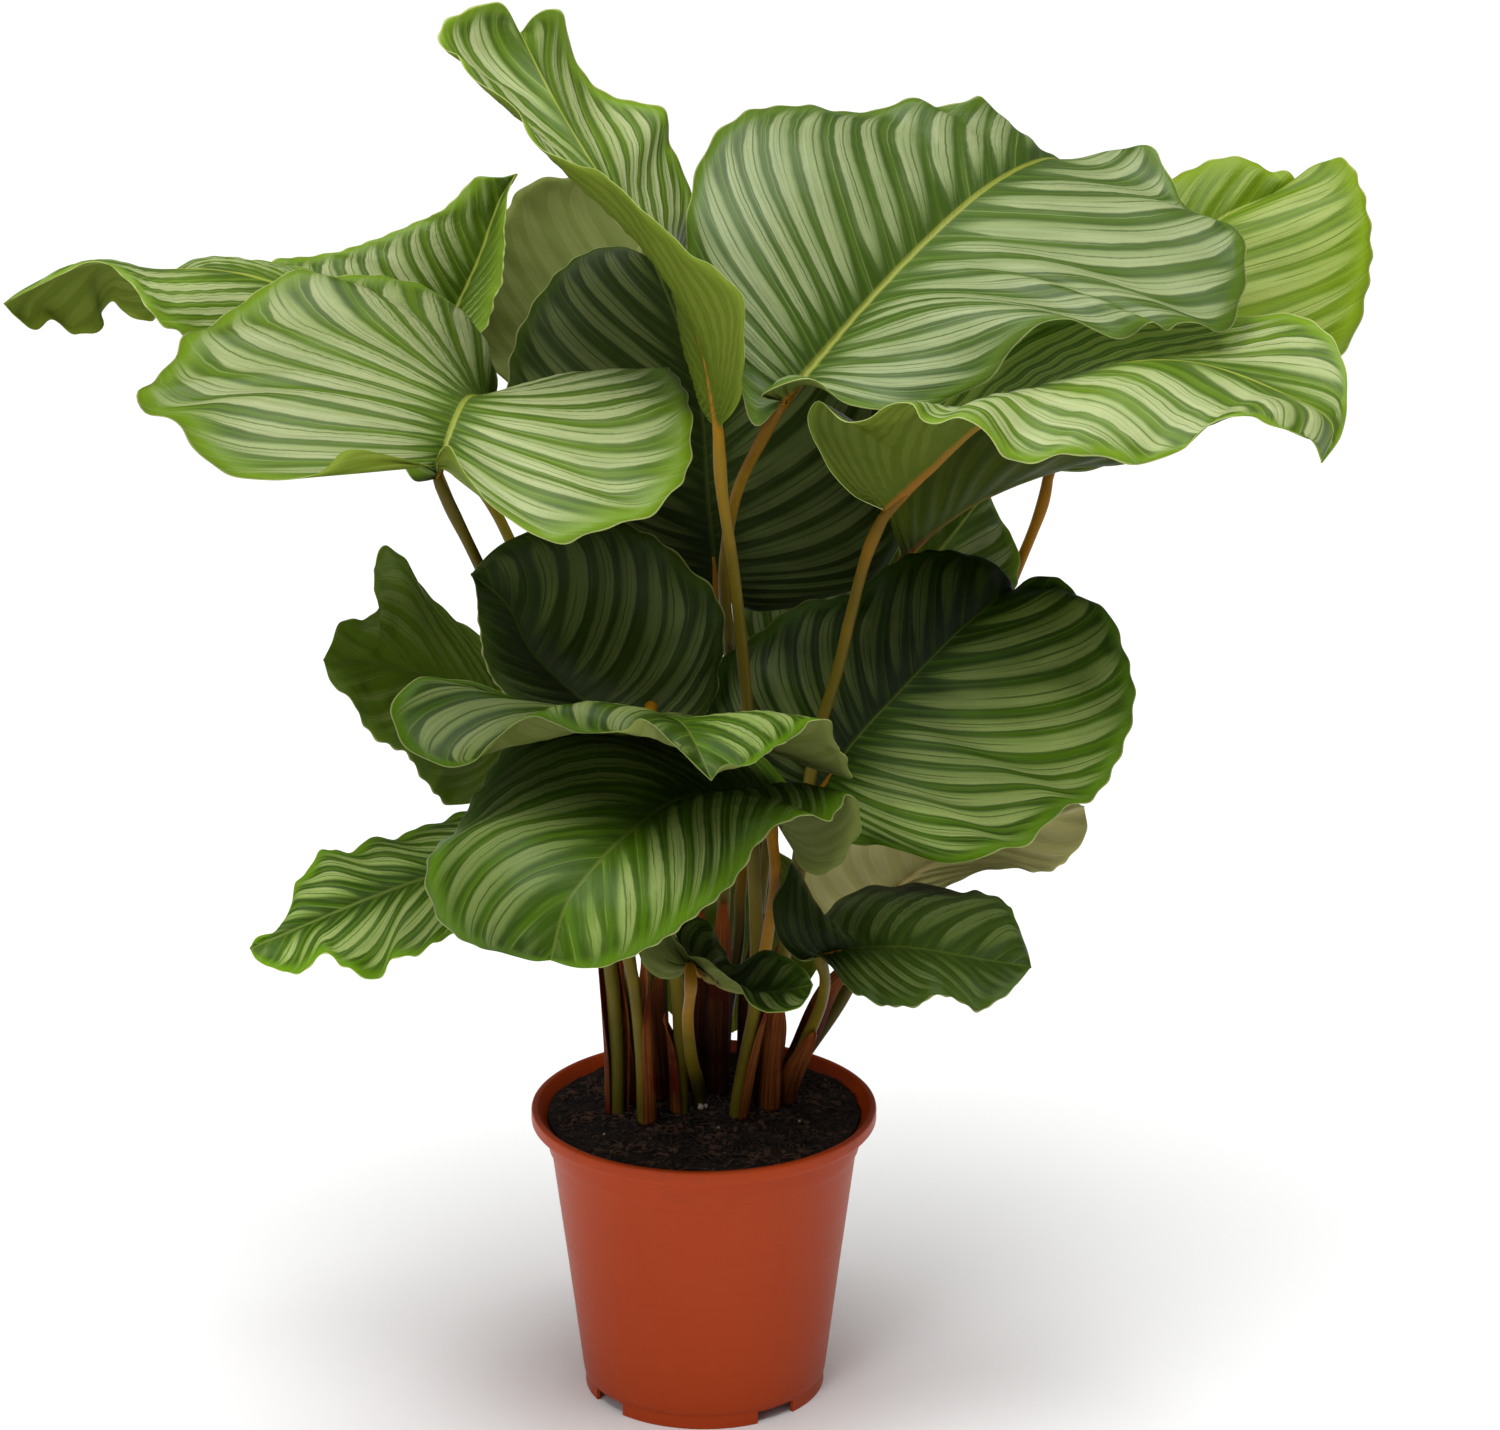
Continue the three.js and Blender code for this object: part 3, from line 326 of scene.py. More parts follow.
# Crumbs are small squashed lumps; fibres are thin bent strips; both lie on the bed.
crumb_shape = bmesh.new()
for _ in range(900):
    angle = dice.uniform(0, 2 * math.pi)
    reach = 91 * math.sqrt(dice.random())
    x, y = reach * math.cos(angle), reach * math.sin(angle)
    size = dice.uniform(0.7, 2.4) * dice.uniform(0.6, 1.0)
    made = bmesh.ops.create_icosphere(crumb_shape, subdivisions=1, radius=size * MM)["verts"]
    turn = dice.uniform(0, math.pi)
    stretch = dice.uniform(0.8, 2.2)
    for vertex in made:
        px, py, pz = vertex.co
        px, pz = px * stretch, pz * dice.uniform(0.55, 0.9)
        vertex.co.x = px * math.cos(turn) - py * math.sin(turn) + x * MM
        vertex.co.y = px * math.sin(turn) + py * math.cos(turn) + y * MM
        vertex.co.z = pz + (soil_height(x, y) + size * 0.25) * MM
for _ in range(420):
    angle = dice.uniform(0, 2 * math.pi)
    reach = 90 * math.sqrt(dice.random())
    x, y = reach * math.cos(angle), reach * math.sin(angle)
    heading = dice.uniform(0, 2 * math.pi)
    bend = dice.uniform(-0.12, 0.12)
    width = dice.uniform(0.18, 0.5)
    row = []
    for k in range(7):
        z = soil_height(x, y) + 0.5 + 0.8 * math.sin(math.pi * k / 6) * dice.uniform(0.4, 1.6)
        side = (-math.sin(heading) * width, math.cos(heading) * width)
        row.append([crumb_shape.verts.new(((x + s * side[0]) * MM, (y + s * side[1]) * MM, (z + lift) * MM))
                    for s, lift in ((-1, 0), (0, width), (1, 0))])
        x += 1.9 * math.cos(heading)
        y += 1.9 * math.sin(heading)
        if math.hypot(x, y) > 92.5:
            break
        heading += bend + dice.uniform(-0.25, 0.25)
    for low, high in zip(row, row[1:]):
        for a, b in ((0, 1), (1, 2), (2, 0)):
            crumb_shape.faces.new((low[a], low[b], high[b], high[a]))
bmesh.ops.recalc_face_normals(crumb_shape, faces=crumb_shape.faces)
crumb_mesh = bpy.data.meshes.new("soil_crumbs")
crumb_shape.to_mesh(crumb_mesh)
crumb_shape.free()
crumbs = new_object("soil_crumbs", crumb_mesh)
bark, tree, shader = new_material("bark_and_fibre", 0.85)
place = node(tree, "ShaderNodeTexCoord")
patch = node(tree, "ShaderNodeTexNoise", {"Vector": place.outputs["Object"], "Scale": 55.0, "Detail": 2.0})
grain = node(tree, "ShaderNodeTexNoise", {"Vector": place.outputs["Object"], "Scale": 700.0, "Detail": 3.0})
brown = blend_colour(tree, step_up(tree, patch.outputs["Fac"], 0.38, 0.66), paint(20, 12, 9), paint(80, 50, 32))
brown = blend_colour(tree, calc(tree, "MULTIPLY", grain.outputs["Fac"], 0.5), brown, paint(44, 28, 20))
tree.links.new(brown, shader.inputs["Base Color"])
bump = node(tree, "ShaderNodeBump", {"Strength": 0.6, "Distance": 0.0008, "Height": grain.outputs["Fac"]})
tree.links.new(bump.outputs["Normal"], shader.inputs["Normal"])
crumb_mesh.materials.append(bark)

PERLITE = [(-2, 8, 2.2), (1, 10, 1.5), (9, -22, 0.9), (58, -12, 1.0), (-44, 30, 0.9), (20, 62, 1.3), (-60, -30, 0.8)]
perlite_shape = bmesh.new()
for x, y, size in PERLITE:
    made = bmesh.ops.create_icosphere(perlite_shape, subdivisions=2, radius=size * MM)["verts"]
    for vertex in made:
        vertex.co *= dice.uniform(0.78, 1.12)
        vertex.co += Vector((x * MM, y * MM, (soil_height(x, y) + size * 0.4) * MM))
perlite_mesh = bpy.data.meshes.new("perlite_grains")
perlite_shape.to_mesh(perlite_mesh)
perlite_shape.free()
perlite = new_object("perlite_grains", perlite_mesh)
white_rock, tree, shader = new_material("perlite", 0.8)
place = node(tree, "ShaderNodeTexCoord")
pits = node(tree, "ShaderNodeTexNoise", {"Vector": place.outputs["Object"], "Scale": 900.0, "Detail": 3.0})
chalk = blend_colour(tree, pits.outputs["Fac"], paint(128, 118, 100), paint(196, 188, 166))
tree.links.new(chalk, shader.inputs["Base Color"])
bump = node(tree, "ShaderNodeBump", {"Strength": 0.8, "Distance": 0.0006, "Height": pits.outputs["Fac"]})
tree.links.new(bump.outputs["Normal"], shader.inputs["Normal"])
perlite_mesh.materials.append(white_rock)
for piece in (soil, crumbs, perlite):
    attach(piece, "root")
    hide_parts("soil")

# ---- Leaf blades --------------------------------------------------------------------------
# Each leaf is one thin blade with a midrib; side veins sweep from the midrib to the margin,
# and the blade is pleated between them. Points run from the stalk to the tip. left and right
# are the sides seen from the stalk, looking at the upper face; bow is how far the veins
# arch, evenly spaced from the stalk to the tip.
# Per leaf, the pair that scales each side's upper face brightens or darkens it as painted light and shade; faint below
# 1 weakens that side's silver as painted shade; shaded is the share of painted shade where leaves cover the sky, and
# below 0 paints light through the leaf above onto the far half instead.
LEAVES = {
    "upper_right": dict(
        midrib=[(47, -70, 644), (77, -35, 671), (118, 10, 706), (166, 70, 735), (204, 128, 740),
            (221, 155, 732)],
        left=[(32, -78, 631), (20, -62, 655), (0, -40, 690), (-9, -15, 734), (4, 20, 773), (15, 32, 783),
            (32, 47, 789), (57, 64, 785), (84, 82, 779), (102, 91, 777), (112, 96, 780), (127, 103, 782),
            (138, 108, 776), (151, 114, 777), (163, 120, 779), (172, 128, 771), (185, 137, 755),
            (202, 148, 739)],
        right=[(35, -100, 656), (60, -112, 670), (84, -100, 652), (127, -90, 645), (161, -82, 658),
            (186, -75, 688), (206, -68, 691), (239, -52, 677), (248, -47, 677), (257, -42, 682),
            (267, -36, 675), (274, -32, 678), (284, -26, 678), (302, -15, 672), (317, 25, 694),
            (315, 55, 712), (291, 85, 718), (279, 106, 732), (266, 125, 749), (251, 140, 742),
            (235, 150, 736)],
        stalk=[(35, -62, 620), (21, -50, 586), (13, -28, 531), (16, -4, 474), (17, 14, 399),
            (12, 27, 305)],
        bow=([14, 14, 13, 6, -2], [14, 14, 12, 3, -4]), foot=(8, 32), look="full", back="full", bands=19,
        sweep=(0.46, 0.45), painted_lighting=(0.89, 0.96), faint=(1.0, 1.0), shaded=1.0, fade=17, ruddy=1.0,
    ),
    "far_right": dict(
        midrib=[(209, 102, 554), (245, 114, 614), (281, 134, 668), (310, 145, 698), (338, 158, 708),
            (361, 165, 715)],
        left=[(197, 108, 572), (191, 120, 606), (216, 140, 657), (252, 155, 700), (286, 168, 721),
            (318, 172, 731), (334, 172, 728), (344, 170, 723), (354, 168, 724)],
        right=[(233, 95, 556), (280, 90, 577), (328, 88, 596), (363, 92, 616), (387, 98, 633),
            (397, 110, 658), (402, 130, 688), (397, 148, 717), (386, 158, 735), (374, 164, 727)],
        stalk=[(205, 100, 533), (188, 98, 487), (162, 94, 423), (129, 76, 332), (87, 56, 234)],
        bow=([12], [12]), foot=(55, 52), look="young", back="young", bands=16,
        sweep=(0.42, 0.42), painted_lighting=(1.08, 1.08), faint=(1.0, 1.0), shaded=1.0, fade=26, ruddy=0.8,
    ),
    "right_front": dict(
        midrib=[(106, -60, 576), (131, -62, 601), (161, -60, 629), (228, -50, 659), (279, -45, 661),
            (325, -50, 647), (359, -72, 631), (352, -88, 613)],
        left=[(96, -30, 588), (113, 5, 622), (151, 40, 646), (211, 58, 663), (281, 50, 665),
            (332, 30, 669), (353, 8, 672), (368, -18, 661), (371, -45, 638), (366, -62, 624)],
        right=[(85, -75, 592), (68, -88, 618), (61, -95, 643), (66, -98, 653), (81, -102, 643),
            (112, -126, 658), (119, -128, 658), (124, -128, 650), (133, -128, 646), (146, -128, 649),
            (156, -127, 646), (164, -127, 637), (171, -126, 629), (187, -125, 625), (204, -124, 629),
            (217, -123, 629), (231, -121, 624), (244, -120, 620), (256, -118, 624), (270, -115, 629),
            (279, -113, 638), (286, -112, 643), (298, -110, 647), (310, -108, 647), (320, -107, 641),
            (330, -105, 637), (345, -98, 629)],
        stalk=[(96, -56, 551), (87, -52, 514), (79, -50, 477), (70, -50, 445), (62, -50, 403),
            (55, -36, 342), (47, -16, 277)],
        bow=([-8], [10]), foot=(40, 8), look="bright", back="bright", bands=17,
        sweep=(0.25, 0.22), painted_lighting=(1.18, 1.18), faint=(1.0, 1.0), shaded=-1.0, fade=15, ruddy=1.1,
    ),
    "right_inner": dict(
        midrib=[(119, 32, 521), (135, 38, 534), (160, 43, 551), (190, 47, 564), (219, 50, 572),
            (247, 53, 573), (271, 58, 576)],
        left=[(120, 48, 527), (136, 68, 546), (178, 76, 562), (219, 74, 575), (249, 70, 583),
            (266, 64, 584)],
        right=[(111, 22, 547), (107, 10, 577), (130, 3, 603), (163, 0, 616), (203, 4, 608),
            (239, 20, 597), (264, 45, 588)],
        stalk=[(113, 31, 504), (97, 36, 455), (78, 40, 384), (58, 42, 312)],
        bow=([-10], [-10]), foot=(36, 40), look="deep", back="deep", bands=12,
        sweep=(0.4, 0.4), painted_lighting=(1.0, 1.0), faint=(1.0, 1.0), shaded=1.0, fade=17, ruddy=1.0,
    ),
    "right_back": dict(
        midrib=[(52, 60, 409), (89, 78, 448), (131, 100, 489), (165, 122, 525), (173, 130, 535)],
        left=[(34, 66, 426), (18, 78, 454), (27, 95, 477), (71, 112, 495), (114, 126, 522),
            (150, 134, 539)],
        right=[(88, 54, 411), (137, 60, 428), (173, 72, 456), (190, 84, 490), (189, 94, 510),
            (179, 110, 524)],
        stalk=[(47, 60, 390), (40, 58, 339), (32, 56, 275)],
        bow=([8], [8]), foot=(26, 56), look="bright", back="bright", bands=13,
        sweep=(0.4, 0.4), painted_lighting=(1.0, 1.0), faint=(1.0, 1.0), shaded=1.0, fade=17, ruddy=1.0,
    ),
    "top": dict(
        midrib=[(10, -85, 633), (2, -78, 679), (-9, -70, 703), (-34, -48, 739), (-55, -28, 763),
            (-74, -5, 788), (-90, 18, 811), (-104, 38, 834)],
        left=[(20, -100, 650), (27, -112, 684), (21, -112, 719), (-5, -98, 739), (-31, -80, 759),
            (-49, -66, 771), (-66, -55, 774), (-86, -42, 782), (-102, -32, 803), (-110, -28, 809),
            (-126, -20, 815), (-134, -12, 822), (-138, -6, 829), (-146, -3, 832), (-149, 2, 837),
            (-148, 10, 844), (-140, 17, 849), (-115, 30, 854)],
        right=[(1, -62, 643), (-7, -15, 672), (-10, 20, 705), (-7, 45, 746), (-19, 52, 766),
            (-21, 58, 784), (-30, 60, 789), (-51, 62, 792), (-65, 62, 805), (-75, 61, 820),
            (-83, 58, 843), (-95, 48, 843)],
        stalk=[(12, -86, 597), (18, -80, 553), (23, -64, 500), (26, -56, 461), (28, -50, 422),
            (30, -38, 361), (32, -14, 282)],
        bow=([-8], [-10]), foot=(28, 16), look="bright", back="bright", bands=18,
        sweep=(0.3, 0.3), painted_lighting=(1.1, 1.1), faint=(1.0, 1.0), shaded=1.0, fade=16, ruddy=1.1,
    ),
    "far_left": dict(
        midrib=[(-181, 85, 618), (-215, 72, 655), (-248, 58, 680), (-285, 44, 693), (-322, 34, 696),
            (-351, 22, 704), (-377, 10, 698), (-403, -5, 685)],
        left=[(-198, 68, 607), (-237, 45, 626), (-270, 18, 645), (-301, -8, 668), (-312, -14, 676),
            (-319, -14, 684), (-329, -5, 697), (-348, 8, 706), (-370, 2, 700)],
        right=[(-171, 120, 628), (-212, 112, 664), (-252, 102, 681), (-289, 92, 688), (-315, 82, 680),
            (-326, 66, 658), (-342, 55, 666), (-347, 50, 674), (-353, 44, 667), (-351, 38, 660),
            (-366, 30, 657), (-380, 18, 670), (-387, 12, 665), (-397, 2, 675)],
        stalk=[(-171, 82, 588), (-160, 76, 562), (-149, 70, 536), (-130, 60, 497), (-99, 50, 425),
            (-63, 40, 333)],
        bow=([10], [12]), foot=(-42, 36), look="bright", back="bright", bands=17,
        sweep=(0.3, 0.3), painted_lighting=(1.13, 1.13), faint=(1.0, 1.0), shaded=1.0, fade=20, ruddy=1.1,
    ),
    "left_back": dict(
        midrib=[(-182, 145, 586), (-158, 158, 627), (-138, 170, 667), (-124, 182, 703), (-114, 187, 718)],
        left=[(-203, 140, 588), (-238, 132, 621), (-262, 125, 660), (-262, 127, 677), (-237, 138, 678),
            (-214, 148, 681), (-184, 158, 690), (-160, 166, 700), (-147, 174, 711), (-139, 178, 718),
            (-125, 184, 716)],
        right=[(-161, 138, 588), (-142, 134, 611), (-134, 134, 630), (-125, 143, 653), (-121, 156, 678),
            (-120, 175, 707)],
        stalk=[(-165, 146, 561), (-143, 130, 543), (-128, 124, 523), (-117, 118, 502), (-88, 104, 439),
            (-52, 82, 350), (-30, 64, 265)],
        bow=([10], [6]), foot=(-26, 52), look="bright", back="bright", bands=20,
        sweep=(0.35, 0.35), painted_lighting=(1.0, 1.0), faint=(1.0, 1.0), shaded=1.0, fade=20, ruddy=1.2,
    ),
    "left_front": dict(
        midrib=[(-149, -100, 608), (-143, -88, 627), (-136, -55, 639), (-129, 0, 628), (-123, 50, 609)],
        left=[(-160, -115, 610), (-170, -130, 627), (-195, -145, 636), (-214, -155, 626),
            (-247, -145, 620), (-277, -125, 625), (-297, -102, 645), (-315, -88, 645), (-318, -80, 652),
            (-311, -68, 653), (-301, -52, 664), (-296, -40, 674), (-281, -26, 678), (-266, -12, 686),
            (-239, 6, 701), (-216, 18, 693), (-182, 32, 692), (-154, 44, 679), (-134, 52, 648),
            (-126, 55, 620)],
        right=[(-145, -125, 630), (-138, -135, 636), (-128, -148, 622), (-111, -155, 604),
            (-78, -155, 587), (-49, -145, 593), (-25, -130, 596), (-7, -105, 614), (-5, -75, 635),
            (-10, -42, 646), (-22, -12, 648), (-43, 8, 635), (-66, 22, 622), (-96, 35, 610)],
        stalk=[(-141, -96, 588), (-131, -88, 563), (-122, -78, 538), (-100, -50, 471), (-75, -28, 389),
            (-62, -6, 318), (-56, -2, 271), (-53, 0, 225)],
        bow=([16], [5]), foot=(-53, 1), look="bright", back="bright", bands=19,
        sweep=(0.5, 0.5), painted_lighting=(0.9, 1.03), faint=(1.0, 1.0), shaded=1.0, fade=34, ruddy=1.5,
    ),
    "centre_back": dict(
        midrib=[(9, 30, 496), (3, 50, 551), (-2, 75, 606), (-16, 95, 650), (-31, 112, 683)],
        left=[(-14, 38, 487), (-56, 48, 495), (-93, 60, 535), (-116, 75, 593), (-114, 86, 633),
            (-94, 98, 670), (-71, 108, 688), (-50, 112, 691)],
        right=[(34, 28, 488), (76, 34, 495), (109, 50, 506), (121, 66, 534), (123, 76, 574),
            (109, 86, 609), (76, 96, 643), (28, 106, 674), (-8, 113, 687)],
        stalk=[(8, 30, 470), (5, 34, 405), (0, 38, 333), (-4, 40, 261)],
        bow=([10], [10]), foot=(-6, 38), look="deep", back="deep", bands=17,
        sweep=(0.4, 0.4), painted_lighting=(0.62, 0.85), faint=(1.0, 1.0), shaded=1.0, fade=17, ruddy=1.0,
    ),
    "lower_right": dict(
        midrib=[(65, -40, 393), (87, -30, 424), (119, -15, 456), (152, 0, 486), (176, 15, 501),
            (185, 28, 501)],
        left=[(50, -32, 389), (25, -29, 399), (6, -27, 420), (1, -25, 443), (6, -20, 464),
            (16, -16, 477), (27, -12, 483), (34, -10, 488), (43, -7, 495), (59, -4, 504), (77, -1, 506),
            (88, 2, 508), (104, 8, 519), (120, 15, 527), (137, 20, 529), (155, 24, 527), (172, 27, 520),
            (180, 28, 510)],
        right=[(78, -50, 373), (109, -65, 373), (136, -75, 368), (155, -78, 368), (174, -75, 375),
            (189, -72, 376), (213, -60, 396), (229, -50, 397), (246, -35, 420), (255, -15, 447),
            (252, -5, 465), (240, 10, 494), (222, 18, 501), (211, 22, 511), (196, 27, 504)],
        stalk=[(61, -26, 366), (56, -8, 325), (45, 10, 266)],
        bow=([12], [12]), foot=(26, 34), look="low", back="low", bands=18,
        sweep=(0.38, 0.38), painted_lighting=(0.52, 1.36), faint=(1.0, 1.0), shaded=1.0, fade=17, ruddy=1.0,
    ),
    "centre_left": dict(
        midrib=[(-49, -52, 446), (-63, -60, 458), (-82, -72, 478), (-99, -86, 503), (-111, -98, 533),
            (-130, -106, 553)],
        left=[(-59, -56, 442), (-85, -66, 447), (-105, -82, 465), (-122, -100, 494), (-126, -110, 524),
            (-127, -112, 545)],
        right=[(-10, -44, 438), (5, -42, 451), (11, -44, 478), (13, -48, 508), (7, -54, 527),
            (-7, -60, 543), (-24, -68, 562), (-46, -78, 575), (-74, -88, 578), (-101, -98, 575),
            (-117, -105, 567)],
        stalk=[(-44, -38, 424), (-37, -28, 389), (-32, -16, 341), (-30, -4, 298), (-31, 8, 248)],
        bow=([10], [14]), foot=(-28, 24), look="deep", back="deep", bands=14,
        sweep=(0.35, 0.28), painted_lighting=(1.1, 1.1), faint=(1.0, 1.0), shaded=0.8, fade=17, ruddy=1.0,
    ),
    "low_front": dict(
        midrib=[(40, -90, 404), (14, -118, 423), (-12, -150, 433), (-46, -200, 425), (-62, -225, 415),
            (-74, -240, 402), (-82, -252, 375)],
        left=[(52, -102, 387), (58, -108, 375), (72, -118, 376), (85, -124, 393), (92, -124, 411),
            (85, -120, 426), (73, -150, 420), (54, -170, 431), (39, -185, 428), (20, -205, 405),
            (0, -225, 393), (-22, -240, 381), (-55, -250, 370), (-70, -252, 371)],
        right=[(51, -74, 412), (37, -68, 428), (-1, -72, 443), (-47, -80, 448), (-81, -97, 450),
            (-106, -118, 457), (-125, -142, 439), (-137, -162, 419), (-150, -185, 414),
            (-153, -205, 402), (-144, -222, 386), (-127, -235, 378), (-105, -246, 376), (-91, -251, 374)],
        stalk=[(41, -84, 386), (43, -66, 356), (39, -46, 314), (32, -24, 260)],
        bow=([10], [16]), foot=(20, -6), look="low", back="low", bands=20,
        sweep=(0.28, 0.35), painted_lighting=(1.08, 0.84), faint=(1.0, 0.62), shaded=0.7, fade=24, ruddy=0.75,
    ),
    "mid_front": dict(
        midrib=[(-30, -100, 466), (-23, -130, 476), (-16, -165, 487), (-5, -212, 493), (7, -240, 476)],
        left=[(-12, -96, 466), (8, -90, 458), (34, -88, 442), (66, -92, 431), (85, -112, 430),
            (77, -140, 465), (68, -160, 486), (54, -185, 485), (41, -205, 482), (27, -222, 478),
            (14, -232, 482)],
        right=[(-46, -108, 469), (-80, -124, 473), (-97, -128, 475), (-103, -130, 486),
            (-113, -132, 493), (-126, -134, 499), (-141, -137, 502), (-156, -141, 502),
            (-168, -147, 496), (-174, -154, 486), (-167, -164, 472), (-157, -170, 466),
            (-140, -178, 463), (-125, -184, 470), (-108, -192, 484), (-93, -198, 498), (-65, -210, 494),
            (-42, -218, 499), (-31, -220, 506), (-15, -230, 495), (-3, -236, 485)],
        stalk=[(-29, -82, 465), (-28, -62, 448), (-27, -54, 423), (-24, -44, 363), (-20, -32, 308),
            (-15, -16, 257)],
        bow=([5], [-10, -16, -12, -3, 0, 15, 12, 0, 0]), foot=(-14, 4), look="low", back="low", bands=16,
        sweep=(0.4, 0.4), painted_lighting=(1.04, 0.56), faint=(1.0, 1.0), shaded=1.0, fade=16, ruddy=1.0,
    ),
    "left_mid": dict(
        midrib=[(-110, 25, 408), (-139, 18, 436), (-168, 8, 455), (-196, -5, 467), (-223, -15, 472)],
        left=[(-118, 5, 393), (-144, -5, 377), (-162, -15, 391), (-175, -20, 415), (-195, -22, 426),
            (-206, -22, 448), (-218, -18, 458)],
        right=[(-110, 35, 437), (-133, 38, 469), (-153, 42, 484), (-169, 48, 498), (-188, 52, 523),
            (-196, 38, 511), (-195, 28, 502), (-191, 22, 495), (-200, 15, 488), (-214, 5, 489),
            (-219, -8, 479)],
        stalk=[(-93, 24, 391), (-67, 20, 346), (-52, 18, 305), (-45, 18, 270)],
        bow=([10], [10]), foot=(-41, 20), look="soft", back="low", bands=14,
        sweep=(0.28, 0.25), painted_lighting=(1, 1), faint=(1.0, 1.0), shaded=0.8, fade=17, ruddy=1.0,
    ),
    "low_left": dict(
        midrib=[(-85, -30, 351), (-120, -36, 353), (-158, -46, 348), (-194, -58, 339), (-229, -68, 327),
            (-265, -82, 316)],
        left=[(-96, -50, 334), (-125, -70, 326), (-146, -80, 324), (-167, -90, 314), (-180, -92, 315),
            (-189, -96, 303), (-210, -96, 310), (-219, -93, 317), (-235, -93, 305), (-260, -87, 310)],
        right=[(-97, -12, 364), (-127, -6, 374), (-145, -6, 373), (-168, -12, 366), (-180, -18, 361),
            (-198, -25, 364), (-206, -32, 358), (-225, -38, 361), (-232, -46, 353), (-240, -52, 346),
            (-242, -60, 335), (-249, -70, 323), (-261, -79, 322)],
        stalk=[(-70, -27, 340), (-54, -22, 312), (-44, -18, 281), (-38, -15, 231)],
        bow=([10], [10]), foot=(-36, -13), look="low", back="low", bands=17,
        sweep=(0.5, 0.4), painted_lighting=(1.65, 1.65), faint=(1.0, 1.0), shaded=0.7, fade=17, ruddy=1.4,
    ),
    "low_right": dict(
        midrib=[(68, -75, 309), (87, -85, 317), (115, -105, 326), (141, -125, 330), (166, -140, 331),
            (189, -152, 332)],
        left=[(56, -92, 314), (44, -90, 326), (41, -86, 342), (47, -78, 356), (54, -64, 363),
            (61, -50, 344), (65, -40, 321), (80, -35, 329), (100, -32, 335), (124, -38, 340),
            (147, -52, 343), (176, -82, 345), (183, -108, 341), (188, -132, 334)],
        right=[(76, -95, 309), (83, -115, 306), (94, -130, 304), (118, -146, 305), (128, -150, 309),
            (138, -150, 314), (153, -162, 311), (158, -166, 310), (171, -166, 317), (182, -160, 326)],
        stalk=[(72, -66, 293), (71, -48, 270), (62, -18, 232)],
        bow=([8], [10]), foot=(50, 18), look="dim", back="low", bands=15,
        sweep=(0.35, 0.35), painted_lighting=(0.72, 0.72), faint=(1.0, 1.0), shaded=1.0, fade=17, ruddy=1.3,
    ),
    "low_right_back": dict(
        midrib=[(99, 10, 295), (121, 12, 322), (154, 16, 340), (191, 24, 353), (230, 36, 362)],
        left=[(106, 5, 292), (136, -2, 315), (156, -4, 332), (185, 2, 335), (206, 8, 330),
            (219, 16, 335), (231, 26, 349)],
        right=[(82, 14, 291), (62, 16, 293), (60, 22, 320), (70, 26, 341), (100, 30, 356),
            (143, 32, 368), (191, 36, 369), (218, 38, 367)],
        stalk=[(97, 20, 278), (77, 20, 253), (62, 28, 213)],
        bow=([6], [6]), foot=(50, 34), look="low", back="pale", bands=12,
        sweep=(0.4, 0.4), painted_lighting=(1.0, 1.0), faint=(1.0, 1.0), shaded=1.0, fade=17, ruddy=1.4,
    ),
    "low_centre": dict(
        midrib=[(-7, -132, 326), (1, -123, 315), (19, -114, 303), (43, -118, 303), (64, -127, 311)],
        left=[(-11, -106, 321), (-16, -98, 331), (-12, -88, 339), (1, -84, 338), (11, -86, 320),
            (17, -90, 311), (25, -88, 312), (34, -88, 317), (47, -98, 318), (60, -115, 315)],
        right=[(-12, -124, 316), (-23, -118, 312), (-33, -114, 319), (-35, -110, 330), (-30, -107, 337),
            (-22, -107, 340), (-12, -117, 332), (-7, -124, 328), (-1, -129, 329), (7, -134, 328),
            (13, -138, 322), (21, -142, 316), (30, -148, 308), (41, -152, 305), (54, -150, 305),
            (61, -140, 308)],
        stalk=[(-6, -140, 316), (-8, -122, 290), (-7, -70, 244)],
        bow=([-2], [-4]), foot=(-3, 16), look="low", back="low", bands=10,
        sweep=(0.4, 0.4), painted_lighting=(1.0, 1.0), faint=(1.0, 1.0), shaded=1.0, fade=17, ruddy=1.0,
    ),
    "low_back": dict(
        midrib=[(23, 78, 329), (21, 104, 293), (19, 128, 250), (17, 144, 207), (17, 152, 168)],
        left=[(-1, 84, 318), (-27, 102, 290), (-40, 118, 254), (-39, 134, 214), (-20, 148, 181)],
        right=[(39, 84, 320), (62, 102, 295), (73, 118, 261), (71, 134, 221), (52, 148, 185)],
        stalk=[(24, 64, 316), (22, 58, 293), (21, 57, 268)],
        bow=([6], [6]), foot=(8, 60), look="deep", back="deep", bands=10,
        sweep=(0.4, 0.4), painted_lighting=(1.0, 1.0), faint=(1.0, 1.0), shaded=1.0, fade=17, ruddy=1.0,
    ),
    "centre_rear": dict(
        midrib=[(-52, 174, 566), (-49, 196, 617), (-40, 221, 662), (-31, 246, 688)],
        left=[(-24, 168, 561), (10, 178, 577), (34, 195, 611), (37, 212, 651), (19, 236, 681),
            (-6, 246, 691)],
        right=[(-70, 168, 564), (-101, 172, 573), (-126, 180, 592), (-138, 188, 607), (-137, 198, 642),
            (-126, 221, 681), (-108, 234, 702), (-71, 244, 701), (-47, 247, 695)],
        stalk=[(-45, 160, 531), (-34, 138, 461), (-23, 108, 373), (-15, 78, 286)],
        bow=([8], [8]), foot=(-10, 56), look="low", back="low", bands=15,
        sweep=(0.4, 0.4), painted_lighting=(1.0, 1.0), faint=(1.0, 1.0), shaded=1.0, fade=17, ruddy=1.0,
    ),
}
BLADE_THICKNESS = 0.8
MIDRIB_DEPTH = 1.7  # the midrib stands out under the blade
MIDRIB_WIDTH = 1.6
